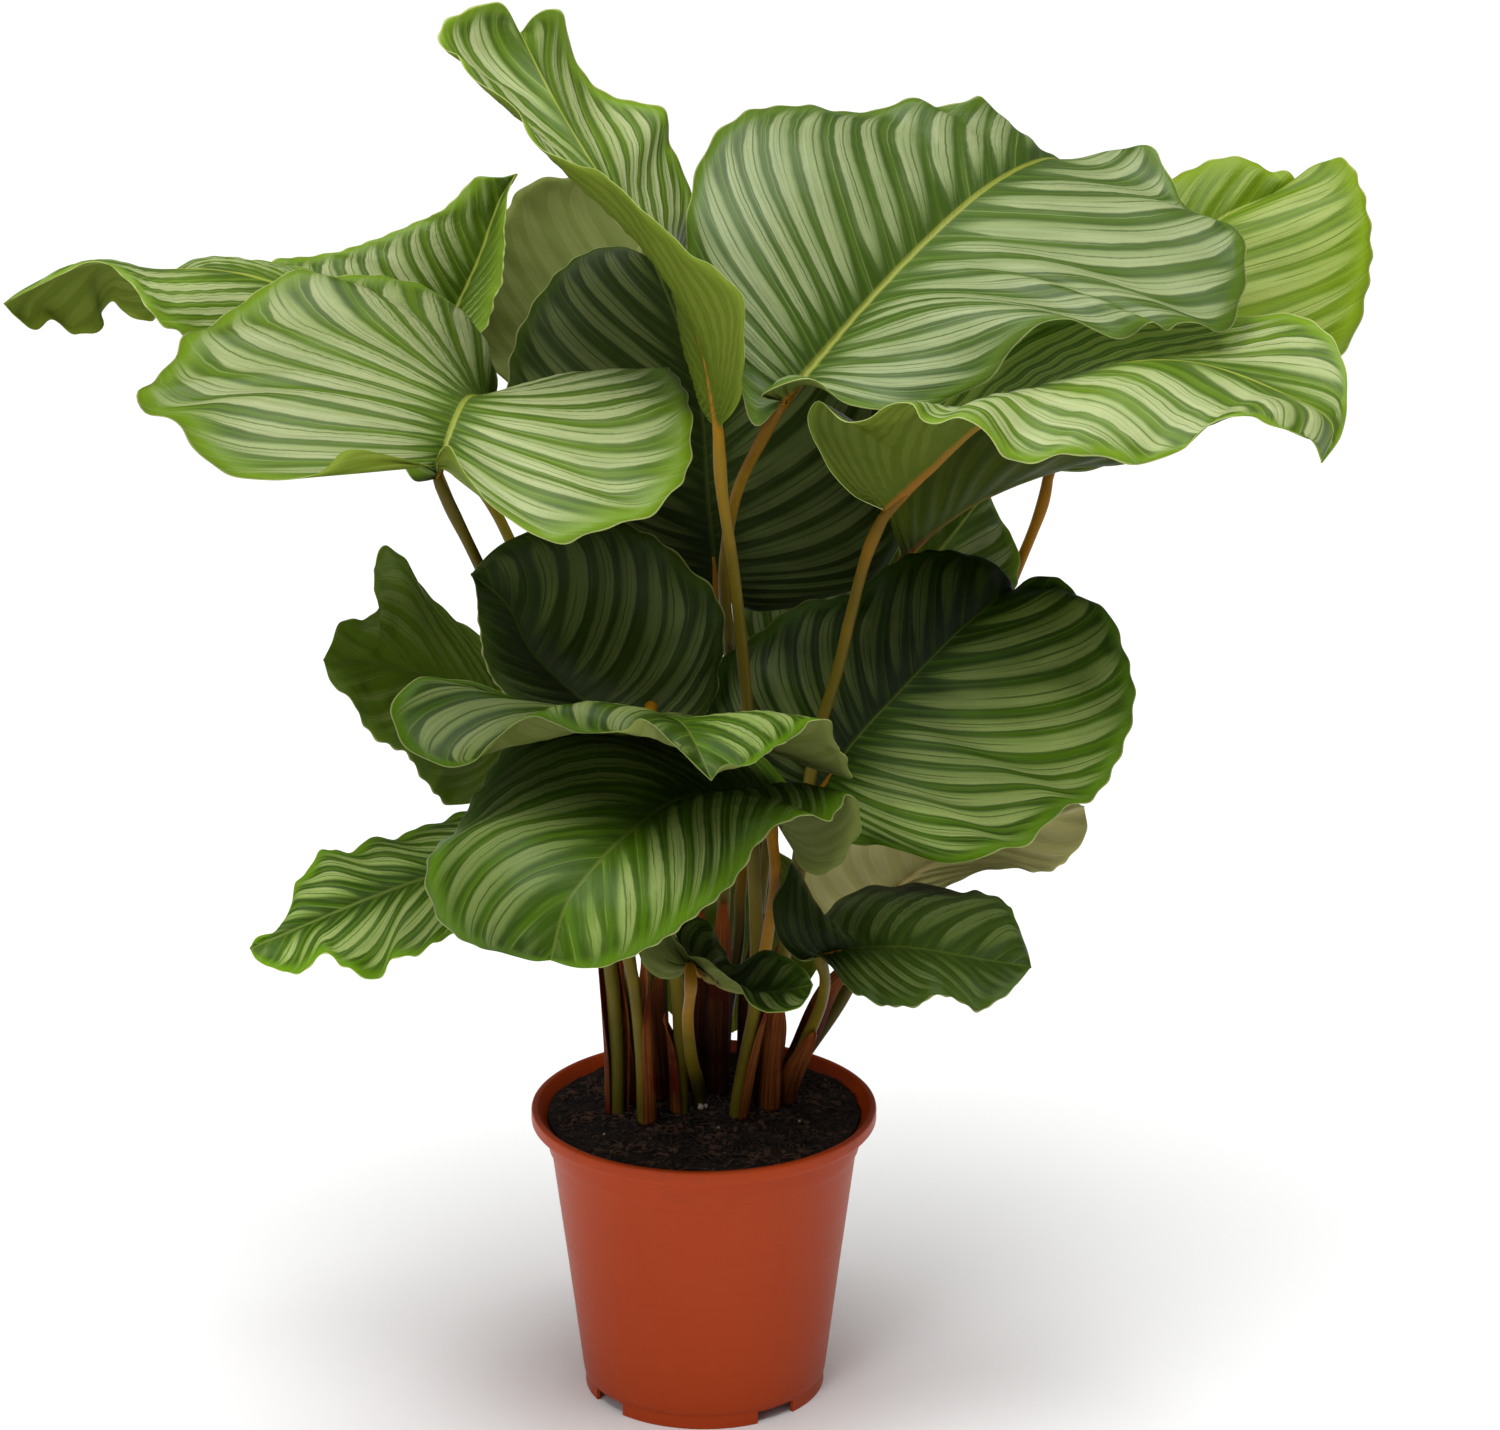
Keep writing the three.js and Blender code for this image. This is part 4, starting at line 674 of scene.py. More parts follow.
FULL_BOW_WIDTH = 100  # a vein this long arches by the whole of the leaf's bow
BLADE_ROWS = 170
PLEAT = 1.0  # height of the pleats between the side veins
SCALLOP = 0.9  # the margin swings in and out by this much between the side veins
WIDE_LEAF = 85  # on a leaf narrower than this the stripes taper over shorter ways
VEIN_BEND = 0.07  # near the margin a vein turns towards the tip by this share of the margin
SIDE_SHIFT = 0.37  # the stripes of one side don't meet those of the other


class Curve:
    """A smooth line through points, read by the share of its length."""

    def __init__(self, points):
        points = np.array(points, float)
        ends = (2 * points[0] - points[1], 2 * points[-1] - points[-2])
        full = np.vstack([ends[0], points, ends[1]])
        gaps = np.maximum(np.linalg.norm(np.diff(full, axis=0), axis=1) ** 0.5, 1e-6)
        pieces = []
        share = np.linspace(0, 1, 40, endpoint=False)[:, None]
        for i in range(1, len(full) - 2):
            before, here, after = gaps[i - 1], gaps[i], gaps[i + 1]
            a, b, c, d = full[i - 1:i + 3]
            slope_in = ((b - a) / before - (c - a) / (before + here) + (c - b) / here) * here
            slope_out = ((c - b) / here - (d - b) / (here + after) + (d - c) / after) * here
            pieces.append((2 * share ** 3 - 3 * share ** 2 + 1) * b + (share ** 3 - 2 * share ** 2 + share) * slope_in
                          + (3 * share ** 2 - 2 * share ** 3) * c + (share ** 3 - share ** 2) * slope_out)
        self.line = np.vstack(pieces + [points[-1:]])
        run = np.r_[0, np.cumsum(np.linalg.norm(np.diff(self.line, axis=0), axis=1))]
        self.length = run[-1]
        self.run = run / run[-1]

    def at(self, share):
        """The place at a share of the length."""
        return np.stack([np.interp(share, self.run, self.line[:, k]) for k in range(3)], axis=-1)

    def heading(self, share):
        """The unit direction at a share of the length."""
        ahead = self.at(np.clip(np.asarray(share) + 0.004, 0, 1)) - self.at(np.clip(np.asarray(share) - 0.004, 0, 1))
        return ahead / np.linalg.norm(ahead, axis=-1, keepdims=True)


def unit(vectors):
    """The vectors at length one."""
    return vectors / np.maximum(np.linalg.norm(vectors, axis=-1, keepdims=True), 1e-9)


def vein_foot(share):
    """Where on the midrib the vein starts that ends at this share of the margin."""
    along = (1 - np.cos(np.pi * share)) / 2
    return 1.5 - np.sqrt(2.25 - 2 * along)


def spaced(values, share):
    """Smooth values between evenly spaced ones."""
    values = np.array(values, float)
    place = share * (len(values) - 1)
    index = np.minimum(np.floor(place).astype(int), max(len(values) - 2, 0))
    blend = (1 - np.cos(np.pi * (place - index))) / 2
    following = values[np.minimum(index + 1, len(values) - 1)]
    return values[index] + (following - values[index]) * blend


def reaches(length):
    """Shares of a vein at which the blade has points, close together near the midrib."""
    near = min(0.1, MIDRIB_WIDTH / max(length, 1))
    far = min(0.22, 3.4 / max(length, 1) + 0.01)
    return np.r_[0, near, far, far + (1 - far) * np.array([0.1, 0.2, 0.3, 0.4, 0.5, 0.6, 0.7, 0.79, 0.87, 0.94, 1.0])]


def store(mesh, key, values):
    """Keeps one number at each point of a mesh."""
    layer = mesh.attributes.new(key, "FLOAT", "POINT")
    layer.data.foreach_set("value", np.asarray(values).astype(np.float32))


def both_faces(values, at_base, at_tip):
    """The numbers of a blade's grid in the order of its points, upper face and underside."""
    line = np.r_[at_base, values.ravel(), at_tip]
    return np.r_[line, line]


def blade_mesh(name, leaf, seed):
    """The blade as one closed body with its pattern's measures at each point, and its grid."""
    waves = np.random.default_rng(seed)
    midrib = Curve(leaf["midrib"])
    first, last = leaf["midrib"][0], leaf["midrib"][-1]
    margins = [Curve([first, *leaf[side], last]) for side in ("left", "right")]
    widest = 0.0
    share = np.arange(1, BLADE_ROWS) / BLADE_ROWS
    foot = vein_foot(share)
    centre = midrib.at(foot)
    along = midrib.heading(foot)
    wave_turns = waves.uniform(0, 2 * math.pi, 8)
    halves = []
    for side, margin in enumerate(margins):
        vein = margin.at(share) - centre
        length = np.linalg.norm(vein, axis=1)
        widest = max(widest, length.max())
        up = unit(np.cross(along, vein) if side == 0 else np.cross(vein, along))
        arch = spaced(leaf["bow"][side], share) * np.minimum(1, length / FULL_BOW_WIDTH)
        phases = waves.uniform(0, 2 * math.pi, 3)
        counts = waves.uniform(0.8, 1.2, 3) * np.array([4.0, 7.5, 13.0])
        ripple = sum(size * np.sin(2 * np.pi * count * share + phase)
                     for size, count, phase in zip((1.6, 1.3, 0.6), counts, phases))
        ripple *= np.sin(np.pi * share) ** 0.7 * np.minimum(1, length / 45)
        rows = []
        for i in range(len(share)):
            v = reaches(length[i])[:, None]
            t = share[i]
            sign = -1 if side == 0 else 1
            start = foot[i] ** leaf["sweep"][side]
            label = t * v + start * (1 - v) - VEIN_BEND * math.sin(math.pi * t) * v ** 5
            drift = (0.14 * np.sin(2 * np.pi * 2.1 * label + wave_turns[0] + 1.2 * sign * v)
                     + 0.07 * np.sin(2 * np.pi * 5.3 * label + wave_turns[1] - 1.5 * sign * v))
            band = leaf["bands"] * label + drift
            fold = -np.cos(2 * np.pi * (band + SIDE_SHIFT * side)) * np.sin(np.pi * v ** 0.7)
            swell = (np.sin(0.055 * length[i] * v + 9 * t + wave_turns[2])
                     * np.sin(14 * t + wave_turns[3] + 2 * sign * v) * v * 1.6)
            lift = 4 * v * (1 - v) * arch[i] + ripple[i] * v ** 4 + (PLEAT * fold + swell) * min(1, length[i] / 35)
            notch = SCALLOP * np.cos(2 * np.pi * (band + SIDE_SHIFT * side)) * v ** 9 * min(1, length[i] / 50)
            out = v + notch / max(length[i], 1)
            rows.append(np.c_[centre[i] + out * vein[i] + lift * up[i], v, np.full_like(v, length[i]), band])
        halves.append(np.array(rows))
    left, right = halves
    grid = np.concatenate([left[:, :0:-1], right], axis=1)
    columns = grid.shape[1]
    middle = left.shape[1] - 1
    places = grid[:, :, :3]
    reach = grid[:, :, 3]
    off = reach * grid[:, :, 4]
    rim = (1 - reach) * grid[:, :, 4]
    scale = min(2.2, max(1.0, WIDE_LEAF / widest))
    band = grid[:, :, 5]

    down_rows = np.gradient(places, axis=0)
    across = np.gradient(places, axis=1)
    normal = unit(np.cross(across, down_rows))
    if np.mean(np.sum(normal[:, middle] * np.cross(places[:, middle + 1] - places[:, middle], along), axis=1)) < 0:
        normal = -normal
    rib = np.clip(1 - off / 3.4, 0, 1) ** 0.6 * (1 - share[:, None] ** 3) * MIDRIB_DEPTH
    groove = np.clip(1 - off / 1.8, 0, 1) * (1 - share[:, None]) * 0.5
    top = places + normal * groove[:, :, None]
    under = places - normal * (BLADE_THICKNESS * (0.55 + 0.45 * (1 - reach)) + rib)[:, :, None]

    base_normal, tip_normal = normal[0, middle], normal[-1, middle]
    points = np.vstack([[first], top.reshape(-1, 3), [last],
                        [np.array(first) - base_normal * BLADE_THICKNESS], under.reshape(-1, 3),
                        [np.array(last) - tip_normal * BLADE_THICKNESS]])
    count = top.shape[0] * columns + 2
    tip = count - 1
    rows = top.shape[0]

    def at(row, column):
        return 1 + row * columns + column

    upper = []
    for column in range(columns - 1):
        upper.append((0, at(0, column + 1), at(0, column)))
        upper.append((tip, at(rows - 1, column), at(rows - 1, column + 1)))
        for row in range(rows - 1):
            upper.append((at(row, column), at(row, column + 1), at(row + 1, column + 1), at(row + 1, column)))
    lower = [tuple(reversed([corner + count for corner in face])) for face in upper]
    rims = []
    for column, turn in ((0, 1), (columns - 1, -1)):
        edge = [0, *[at(row, column) for row in range(rows)], tip]
        for a, b in zip(edge, edge[1:]):
            face = (a, a + count, b + count, b)
            rims.append(face if turn < 0 else tuple(reversed(face)))
    mesh = bpy.data.meshes.new(name)
    mesh.from_pydata((points * MM).tolist(), [], upper + lower + rims)
    shape = bmesh.new()
    shape.from_mesh(mesh)
    bmesh.ops.recalc_face_normals(shape, faces=shape.faces)
    shape.to_mesh(mesh)
    shape.free()
    mesh.shade_smooth()

    signed = reach.copy()
    signed[:, :middle] *= -1
    vein_share = np.repeat(share[:, None], columns, axis=1)

    store(mesh, "band", both_faces(band, 0.0, float(leaf["bands"])))
    store(mesh, "along", both_faces(vein_share, 0.0, 1.0))
    store(mesh, "reach", both_faces(signed, 0.0, 0.0))
    store(mesh, "off", both_faces(off, 0.0, 0.0))
    store(mesh, "way_in", both_faces(off * scale, 0.0, 0.0))
    store(mesh, "way_out", both_faces(rim * scale, 0.0, 0.0))
    sheet = mesh.uv_layers.new(name="blade")
    corners = np.zeros(len(mesh.loops), dtype=np.int32)
    mesh.loops.foreach_get("vertex_index", corners)
    flat_vein = np.r_[0.0, vein_share.ravel(), 1.0]
    flat_reach = np.r_[0.0, signed.ravel(), 0.0]
    is_under = corners >= count
    index = corners % count
    uv = np.stack([0.25 + 0.23 * flat_reach[index] + 0.5 * is_under, 0.02 + 0.96 * flat_vein[index]], axis=1)
    sheet.data.foreach_set("uv", uv.ravel().astype(np.float32))
    slots = np.r_[np.zeros(len(upper)), np.ones(len(lower)), np.zeros(len(rims))].astype(np.int32)
    mesh.polygons.foreach_set("material_index", slots)
    return mesh, places


SKY_TURNS = 10
SKY_HEIGHTS = (22, 40, 58, 76)  # degrees above the horizon
SKIN_GAP = 4  # a line of sight starts this far off a blade
SHEET_ROWS = 30
SHEET_COLUMNS = 15


def sky_seen(canopy, places):
    """The share of the sky that no leaf covers, seen from each place; what is high counts more."""
    seen = np.zeros(len(places))
    total = 0.0
    starts = [Vector(place) for place in places]
    for ring, height in enumerate(SKY_HEIGHTS):
        rise = math.radians(height)
        for k in range(SKY_TURNS):
            turn = 2 * math.pi * (k + ring % 2 / 2) / SKY_TURNS
            way = Vector((math.cos(rise) * math.cos(turn), math.cos(rise) * math.sin(turn), math.sin(rise)))
            total += math.sin(rise)
            for i, start in enumerate(starts):
                if canopy.ray_cast(start + way * SKIN_GAP, way)[0] is None:
                    seen[i] += math.sin(rise)
    return seen / total


def spread(values, rows, columns, full_rows, full_columns):
    """Values known at some rows and columns of a grid, smoothly over the whole of it."""
    wide = np.array([np.interp(np.arange(full_columns), columns, line) for line in values])
    return np.array([np.interp(np.arange(full_rows), rows, line) for line in wide.T]).T


# Paint of the upper face by look: dark lane, silver stripe, margin, midrib.
# The low look is partly the older leaves' own darker green and partly painted shade; dim and deep are painted shade for
# leaves that sit under or behind others; soft has its lanes lightened, painted light on a shaded leaf.
UPPER_PAINT = {
    "full": (paint(54, 78, 14), paint(154, 166, 116), paint(88, 116, 26), paint(138, 144, 50)),
    "bright": (paint(58, 82, 10), paint(162, 171, 120), paint(106, 136, 26), paint(140, 150, 58)),
    "young": (paint(80, 106, 6), paint(148, 162, 84), paint(118, 144, 18), paint(134, 148, 50)),
    "low": (paint(40, 62, 5), paint(138, 153, 88), paint(84, 120, 8), paint(84, 100, 34)),
    "dim": (paint(44, 62, 12), paint(102, 117, 60), paint(66, 90, 20), paint(70, 86, 26)),
    "soft": (paint(76, 98, 18), paint(106, 120, 58), paint(84, 108, 22), paint(84, 98, 34)),
    "deep": (paint(40, 54, 16), paint(106, 118, 66), paint(60, 80, 20), paint(72, 86, 30)),
}
# Paint of the underside by look: between the stripes, stripes, margin, midrib.
# The deep underside is painted shade; pale is the underside's own pale colour made lighter still, painted light on a
# face turned down from the light.
UNDER_PAINT = {
    "full": (paint(90, 102, 36), paint(118, 128, 66), paint(108, 122, 48), paint(150, 108, 40)),
    "bright": (paint(86, 102, 22), paint(116, 130, 50), paint(108, 126, 34), paint(160, 108, 38)),
    "young": (paint(104, 122, 30), paint(134, 148, 62), paint(124, 140, 44), paint(156, 118, 44)),
    "low": (paint(88, 98, 42), paint(112, 118, 66), paint(104, 114, 52), paint(122, 100, 46)),
    "pale": (paint(180, 174, 108), paint(206, 198, 144), paint(188, 184, 116), paint(164, 132, 62)),
    "deep": (paint(60, 76, 2), paint(90, 102, 8), paint(78, 94, 4), paint(118, 84, 16)),
}
RIB_WIDTH = {"full": (4.6, 1.3), "bright": (3.2, 1.0), "young": (3.0, 0.9), "low": (2.6, 0.8), "dim": (2.4, 0.8), "soft": (2.4, 0.8), "deep": (2.4, 0.8)}
GLOSS = {"full": 0.25, "bright": 0.18, "young": 0.2, "low": 0.1, "dim": 0.1, "soft": 0.1, "deep": 0.08}
BACK_SHADE = {"full": 0.45, "bright": 0.35, "young": 0.4, "low": 0.4, "pale": 0.1, "deep": 0.7}
PAINTED_SHADE_GREEN = (0.19, 0.21, 0.1)  # painted shade: a place that sees no sky keeps this share of its paint
PAINTED_LIGHT_THROUGH = (2.6, 3.0, 1.2)  # painted light: a face close under a thin leaf is brightened as if by the light that comes through


def painted_canopy_shade(tree, colour, share=1.0, tint=PAINTED_SHADE_GREEN):
    """Paints shade, or with a light tint paints light, by a share where the plant's own leaves cover the sky."""
    seen = node(tree, "ShaderNodeAttribute", attribute_name="sky").outputs["Fac"]
    covered = calc(tree, "SUBTRACT", 1.0, step_up(tree, seen, 0.08, 0.64))
    return blend_colour(tree, calc(tree, "MULTIPLY", covered, share), colour, tint, mode="MULTIPLY")


def stripes(tree, seed, fade=17.0):
    """The pattern of a blade: its measures and the shares of silver, pin lines and fine streaks.

    fade is how far from the margin the stripes start to narrow, in millimetres.
    """
    def read(key):
        return node(tree, "ShaderNodeAttribute", attribute_name=key).outputs["Fac"]

    signed = read("reach")
    side = calc(tree, "GREATER_THAN", signed, 0.0)
    place = calc(tree, "MULTIPLY_ADD", side, SIDE_SHIFT, read("band"))
    number = calc(tree, "FLOOR", place)
    within = calc(tree, "FRACT", place)
    lot_key = calc(tree, "ADD", calc(tree, "MULTIPLY_ADD", side, 57.0, number), float(seed) * 7.31)
    lots = node(tree, "ShaderNodeTexWhiteNoise", {"W": lot_key}, noise_dimensions="1D")
    lot = node(tree, "ShaderNodeSeparateColor", {"Color": lots.outputs["Color"]})

    def streak(across, down, detail):
        sheet = node(tree, "ShaderNodeCombineXYZ", {"X": calc(tree, "MULTIPLY", place, across),
                                                    "Y": calc(tree, "MULTIPLY", signed, down), "Z": float(seed)})
        return node(tree, "ShaderNodeTexNoise", {"Vector": sheet.outputs["Vector"], "Scale": 1.0,
                                                 "Detail": detail}).outputs["Fac"]

    broad, fine, hair = streak(0.9, 1.4, 2.0), streak(8.0, 2.6, 3.0), streak(26.0, 4.0, 2.0)
    # Every second stripe leans towards the next, so wide dark lanes take turns with narrow ones.
    paired = calc(tree, "MULTIPLY_ADD", calc(tree, "FRACT", calc(tree, "MULTIPLY", number, 0.5)), 0.16, 0.42)
    centre = calc(tree, "MULTIPLY_ADD", calc(tree, "SUBTRACT", broad, 0.5), 0.22, paired)
    shift = calc(tree, "SUBTRACT", within, centre)
    from_centre = calc(tree, "ABSOLUTE", shift)
    begin = calc(tree, "MULTIPLY_ADD", lot.outputs["Green"], 7.0, 1.5)
    swell = calc(tree, "DIVIDE", calc(tree, "SUBTRACT", read("way_in"), begin), 26.0, clamp=True)
    ending = calc(tree, "MULTIPLY_ADD", lot.outputs["Blue"], 3.5, 2.0)
    taper = calc(tree, "DIVIDE", calc(tree, "SUBTRACT", read("way_out"), ending), fade, clamp=True)
    width = calc(tree, "MULTIPLY", calc(tree, "POWER", swell, 0.5), calc(tree, "POWER", taper, 0.45))
    half = calc(tree, "MULTIPLY", width, calc(tree, "MULTIPLY_ADD", lot.outputs["Red"], 0.09, 0.255))
    inside = calc(tree, "ADD", calc(tree, "SUBTRACT", half, from_centre), calc(tree, "MULTIPLY_ADD", fine, 0.06, -0.03))
    tip_side = step_up(tree, shift, -0.05, 0.05)
    soft = calc(tree, "MULTIPLY_ADD", tip_side, 0.1, 0.06)
    silver = step_up(tree, calc(tree, "DIVIDE", calc(tree, "ADD", inside, calc(tree, "MULTIPLY", soft, 0.4)), soft), 0.0, 1.0)
    silver = calc(tree, "MULTIPLY", silver, step_up(tree, width, 0.0, 0.75))
    thin = calc(tree, "SUBTRACT", 1.0, step_up(tree, width, 0.35, 0.95))
    halo = step_up(tree, inside, -0.15, 0.02)

    def pin(at, thin, wide, frequency, low, high):
        """A thin dark line along the stripe that comes and goes."""
        away = calc(tree, "ABSOLUTE", calc(tree, "SUBTRACT", shift, at))
        mark = calc(tree, "SUBTRACT", 1.0, step_up(tree, away, thin, wide))
        return calc(tree, "MULTIPLY", mark, step_up(tree, streak(frequency, 2.1, 1.0), low, high))

    first = pin(calc(tree, "MULTIPLY_ADD", lot.outputs["Blue"], 0.12, 0.0), 0.008, 0.042, 0.83, 0.3, 0.52)
    second = pin(calc(tree, "MULTIPLY_ADD", lot.outputs["Red"], -0.10, -0.07), 0.004, 0.026, 1.37, 0.42, 0.6)
    line = calc(tree, "MAXIMUM", first, calc(tree, "MULTIPLY", second, 0.7))
    lane = step_up(tree, from_centre, 0.36, 0.5)
    mid_lane = calc(tree, "ABSOLUTE", calc(tree, "SUBTRACT", within, calc(tree, "MULTIPLY_ADD", fine, 0.03, 0.01)))
    vein = calc(tree, "SUBTRACT", 1.0, step_up(tree, mid_lane, 0.008, 0.03))
    vein = calc(tree, "MULTIPLY", vein, step_up(tree, streak(1.7, 1.9, 1.0), 0.38, 0.6))
    return dict(side=side, thin=thin, tip_side=step_up(tree, shift, -0.16, 0.26), vein=vein, reach=calc(tree, "ABSOLUTE", signed), rim=read("way_out"), off=read("off"), along=read("along"),
                silver=silver, halo=halo, line=line, lane=lane, fine=fine, hair=hair, from_centre=from_centre)


def rib_share(tree, mark, wide, narrow):
    """1 on the midrib, which narrows from the stalk to the tip; widths in millimetres."""
    width = calc(tree, "MULTIPLY_ADD", mark["along"], narrow - wide, wide)
    return calc(tree, "SUBTRACT", 1.0, step_up(tree, mark["off"], calc(tree, "MULTIPLY", width, 0.4), width))


def shade(tree, colour, share, other):
    """Blends another paint over a colour by a share that may be scaled: (output, amount)."""
    if isinstance(share, tuple):
        share = calc(tree, "MULTIPLY", *share)
    return blend_colour(tree, share, colour, other)


def upper_face(name, leaf, seed):
    """Striped upper face: satin, with a green border, a fine pale edge and a midrib."""
    look = leaf["look"]
    fade = leaf["fade"]
    dark, silver, margin, midrib = UPPER_PAINT[look]
    material, tree, shader = new_material(name, 0.42)
    mark = stripes(tree, seed, fade)
    place = node(tree, "ShaderNodeTexCoord").outputs["Object"]
    cloud = node(tree, "ShaderNodeTexNoise", {"Vector": place, "Scale": 16.0, "Detail": 3.0}).outputs["Fac"]
    mottle = node(tree, "ShaderNodeTexNoise", {"Vector": place, "Scale": 420.0, "Detail": 3.0}).outputs["Fac"]
    border = calc(tree, "SUBTRACT", 1.0, step_up(tree, mark["rim"], 2.0, 0.7 * fade))
    green = shade(tree, dark, (step_up(tree, cloud, 0.35, 0.75), 0.35), margin)
    green = shade(tree, green, (mark["lane"], 0.4), margin)
    green = shade(tree, green, (mark["vein"], 0.35), silver)
    green = shade(tree, green, border, margin)
    green = shade(tree, green, (mark["halo"], 0.1), silver)
    green = shade(tree, green, (step_up(tree, mark["fine"], 0.5, 0.75), 0.15), silver)
    pale = shade(tree, silver, (step_up(tree, mark["fine"], 0.4, 0.7), 0.3), dark)
    pale = shade(tree, pale, (mark["tip_side"], 0.3), margin)
    pale = shade(tree, pale, (mark["thin"], 0.6), margin)
    pale = shade(tree, pale, (step_up(tree, cloud, 0.4, 0.8), 0.16), margin)
    # A faint below 1 weakens the silver on that side, painted shade.
    left_faint, right_faint = leaf["faint"]
    strength = calc(tree, "MULTIPLY_ADD", mark["side"], right_faint - left_faint, left_faint)
    body = shade(tree, green, (mark["silver"], strength), pale)
    body = shade(tree, body, (calc(tree, "MULTIPLY", mark["line"], mark["silver"]), 0.75), dark)
    body = shade(tree, body, (calc(tree, "SUBTRACT", mark["hair"], 0.35, clamp=True), 0.3), dark)
    body = shade(tree, body, (mottle, 0.16), dark)
    body = shade(tree, body, (calc(tree, "SUBTRACT", 1.0, step_up(tree, mark["rim"], 0.35, 1.1)), 0.7), paint(176, 182, 116))
    rib = rib_share(tree, mark, *RIB_WIDTH[look])
    body = shade(tree, body, (rib, 0.85), midrib)
    # Painted light and shade: each side of the upper face is brightened or darkened for how light falls on it.
    tones = [(painted_lighting, painted_lighting, painted_lighting) for painted_lighting in leaf["painted_lighting"]]
    body = blend_colour(tree, 1.0, body, blend_colour(tree, mark["side"], *tones), mode="MULTIPLY")
    # Painted shade where the leaves above cover the sky; a negative shaded paints light on the far half instead, as if
    # coming through the leaf above.
    if leaf["shaded"] < 0:
        far_half = calc(tree, "SUBTRACT", 1.0, mark["side"])
        body = painted_canopy_shade(tree, body, far_half, PAINTED_LIGHT_THROUGH)
    else:
        body = painted_canopy_shade(tree, body, leaf["shaded"])
    tree.links.new(body, shader.inputs["Base Color"])
    rough = calc(tree, "MULTIPLY_ADD", mark["fine"], 0.16, 0.34)
    tree.links.new(rough, shader.inputs["Roughness"])
    relief = calc(tree, "ADD", calc(tree, "MULTIPLY", mark["fine"], 0.8), calc(tree, "MULTIPLY", mark["hair"], 0.35))
    relief = calc(tree, "SUBTRACT", relief, calc(tree, "MULTIPLY", mark["line"], 0.6))
    relief = calc(tree, "ADD", relief, calc(tree, "MULTIPLY", mottle, 0.2))
    bump = node(tree, "ShaderNodeBump", {"Strength": 0.35, "Distance": 0.0009, "Height": relief})
    tree.links.new(bump.outputs["Normal"], shader.inputs["Normal"])
    shader.inputs["Specular IOR Level"].default_value = GLOSS[look]
    return material


def under_face(name, look, seed):
    """Paler grey-green underside, matt, with raised veins and the stripes showing faintly."""
    between, stripe, margin, midrib = UNDER_PAINT[look]
    material, tree, shader = new_material(name, 0.58)
    mark = stripes(tree, seed)
    place = node(tree, "ShaderNodeTexCoord").outputs["Object"]
    mottle = node(tree, "ShaderNodeTexNoise", {"Vector": place, "Scale": 300.0, "Detail": 4.0}).outputs["Fac"]
    body = shade(tree, between, (mark["silver"], 0.45), stripe)
    body = shade(tree, body, calc(tree, "SUBTRACT", 1.0, step_up(tree, mark["rim"], 1.0, 9.0)), margin)
    body = shade(tree, body, (step_up(tree, mark["fine"], 0.45, 0.7), 0.35), between)
    body = shade(tree, body, (mark["line"], 0.4), between)
    body = shade(tree, body, (mottle, 0.25), stripe)
    rib = rib_share(tree, mark, 4.4, 1.4)
    rib_paint = blend_colour(tree, step_up(tree, mark["along"], 0.1, 0.8), midrib, stripe)
    body = blend_colour(tree, rib, body, rib_paint)
    tree.links.new(painted_canopy_shade(tree, body, BACK_SHADE[look]), shader.inputs["Base Color"])
    relief = calc(tree, "ADD", calc(tree, "MULTIPLY", mark["fine"], 0.8), mark["from_centre"])
    bump = node(tree, "ShaderNodeBump", {"Strength": 0.4, "Distance": 0.0012, "Height": relief})
    tree.links.new(bump.outputs["Normal"], shader.inputs["Normal"])
    shader.inputs["Specular IOR Level"].default_value = 0.08
    return material


blades = {}
sheet_points, sheet_faces = [], []
for seed, (name, leaf) in enumerate(LEAVES.items()):
    mesh, grid = blade_mesh("leaf_" + name, leaf, seed + 11)
    rows = np.linspace(0, grid.shape[0] - 1, SHEET_ROWS).astype(int)
    columns = np.linspace(0, grid.shape[1] - 1, SHEET_COLUMNS).astype(int)
    sheet = grid[np.ix_(rows, columns)].reshape(-1, 3)
    count = len(sheet_points)
    for row in range(SHEET_ROWS - 1):
        for column in range(SHEET_COLUMNS - 1):
            corner = count + row * SHEET_COLUMNS + column
            sheet_faces.append((corner, corner + 1, corner + SHEET_COLUMNS + 1, corner + SHEET_COLUMNS))
    sheet_points.extend(sheet.tolist())
    blades[name] = (mesh, sheet, rows, columns, grid.shape)
canopy = BVHTree.FromPolygons(sheet_points, sheet_faces)

for seed, (name, leaf) in enumerate(LEAVES.items()):
    mesh, sheet, rows, columns, (full_rows, full_columns, _) = blades[name]
    # The sky each place sees sets how much painted shade its colour gets.
    seen = sky_seen(canopy, sheet).reshape(SHEET_ROWS, SHEET_COLUMNS)
    store(mesh, "sky", both_faces(spread(seen, rows, columns, full_rows, full_columns), seen[0, 7], seen[-1, 7]))
    blade = new_object("leaf_" + name, mesh)
    mesh.materials.append(upper_face("upper_face_" + name, leaf, seed + 1))
    mesh.materials.append(under_face("under_face_" + name, leaf["back"], seed + 1))
    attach(blade, "root")
    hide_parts("blade_" + name)

# ---- Stalks -------------------------------------------------------------------------------
# Each leaf stands on its own stalk, round and smooth: green low down, turning orange-brown
# towards the blade, with a slightly swollen joint right under it that runs on as the midrib.
SOIL_ROOT = 24
STALK_UPRIGHT = 7
STALK_STEPS = 90
STALK_SIDES = 20


def stalk_curve(leaf):
    """The stalk's centre line, from its root in the soil to the blade."""
    x, y = leaf["foot"]
    lower = [(x, y, SOIL_TOP - SOIL_ROOT), (x, y, SOIL_TOP - STALK_UPRIGHT), (x, y, SOIL_TOP + STALK_UPRIGHT)]
    return Curve([*lower, *reversed(leaf["stalk"]), leaf["midrib"][0]])


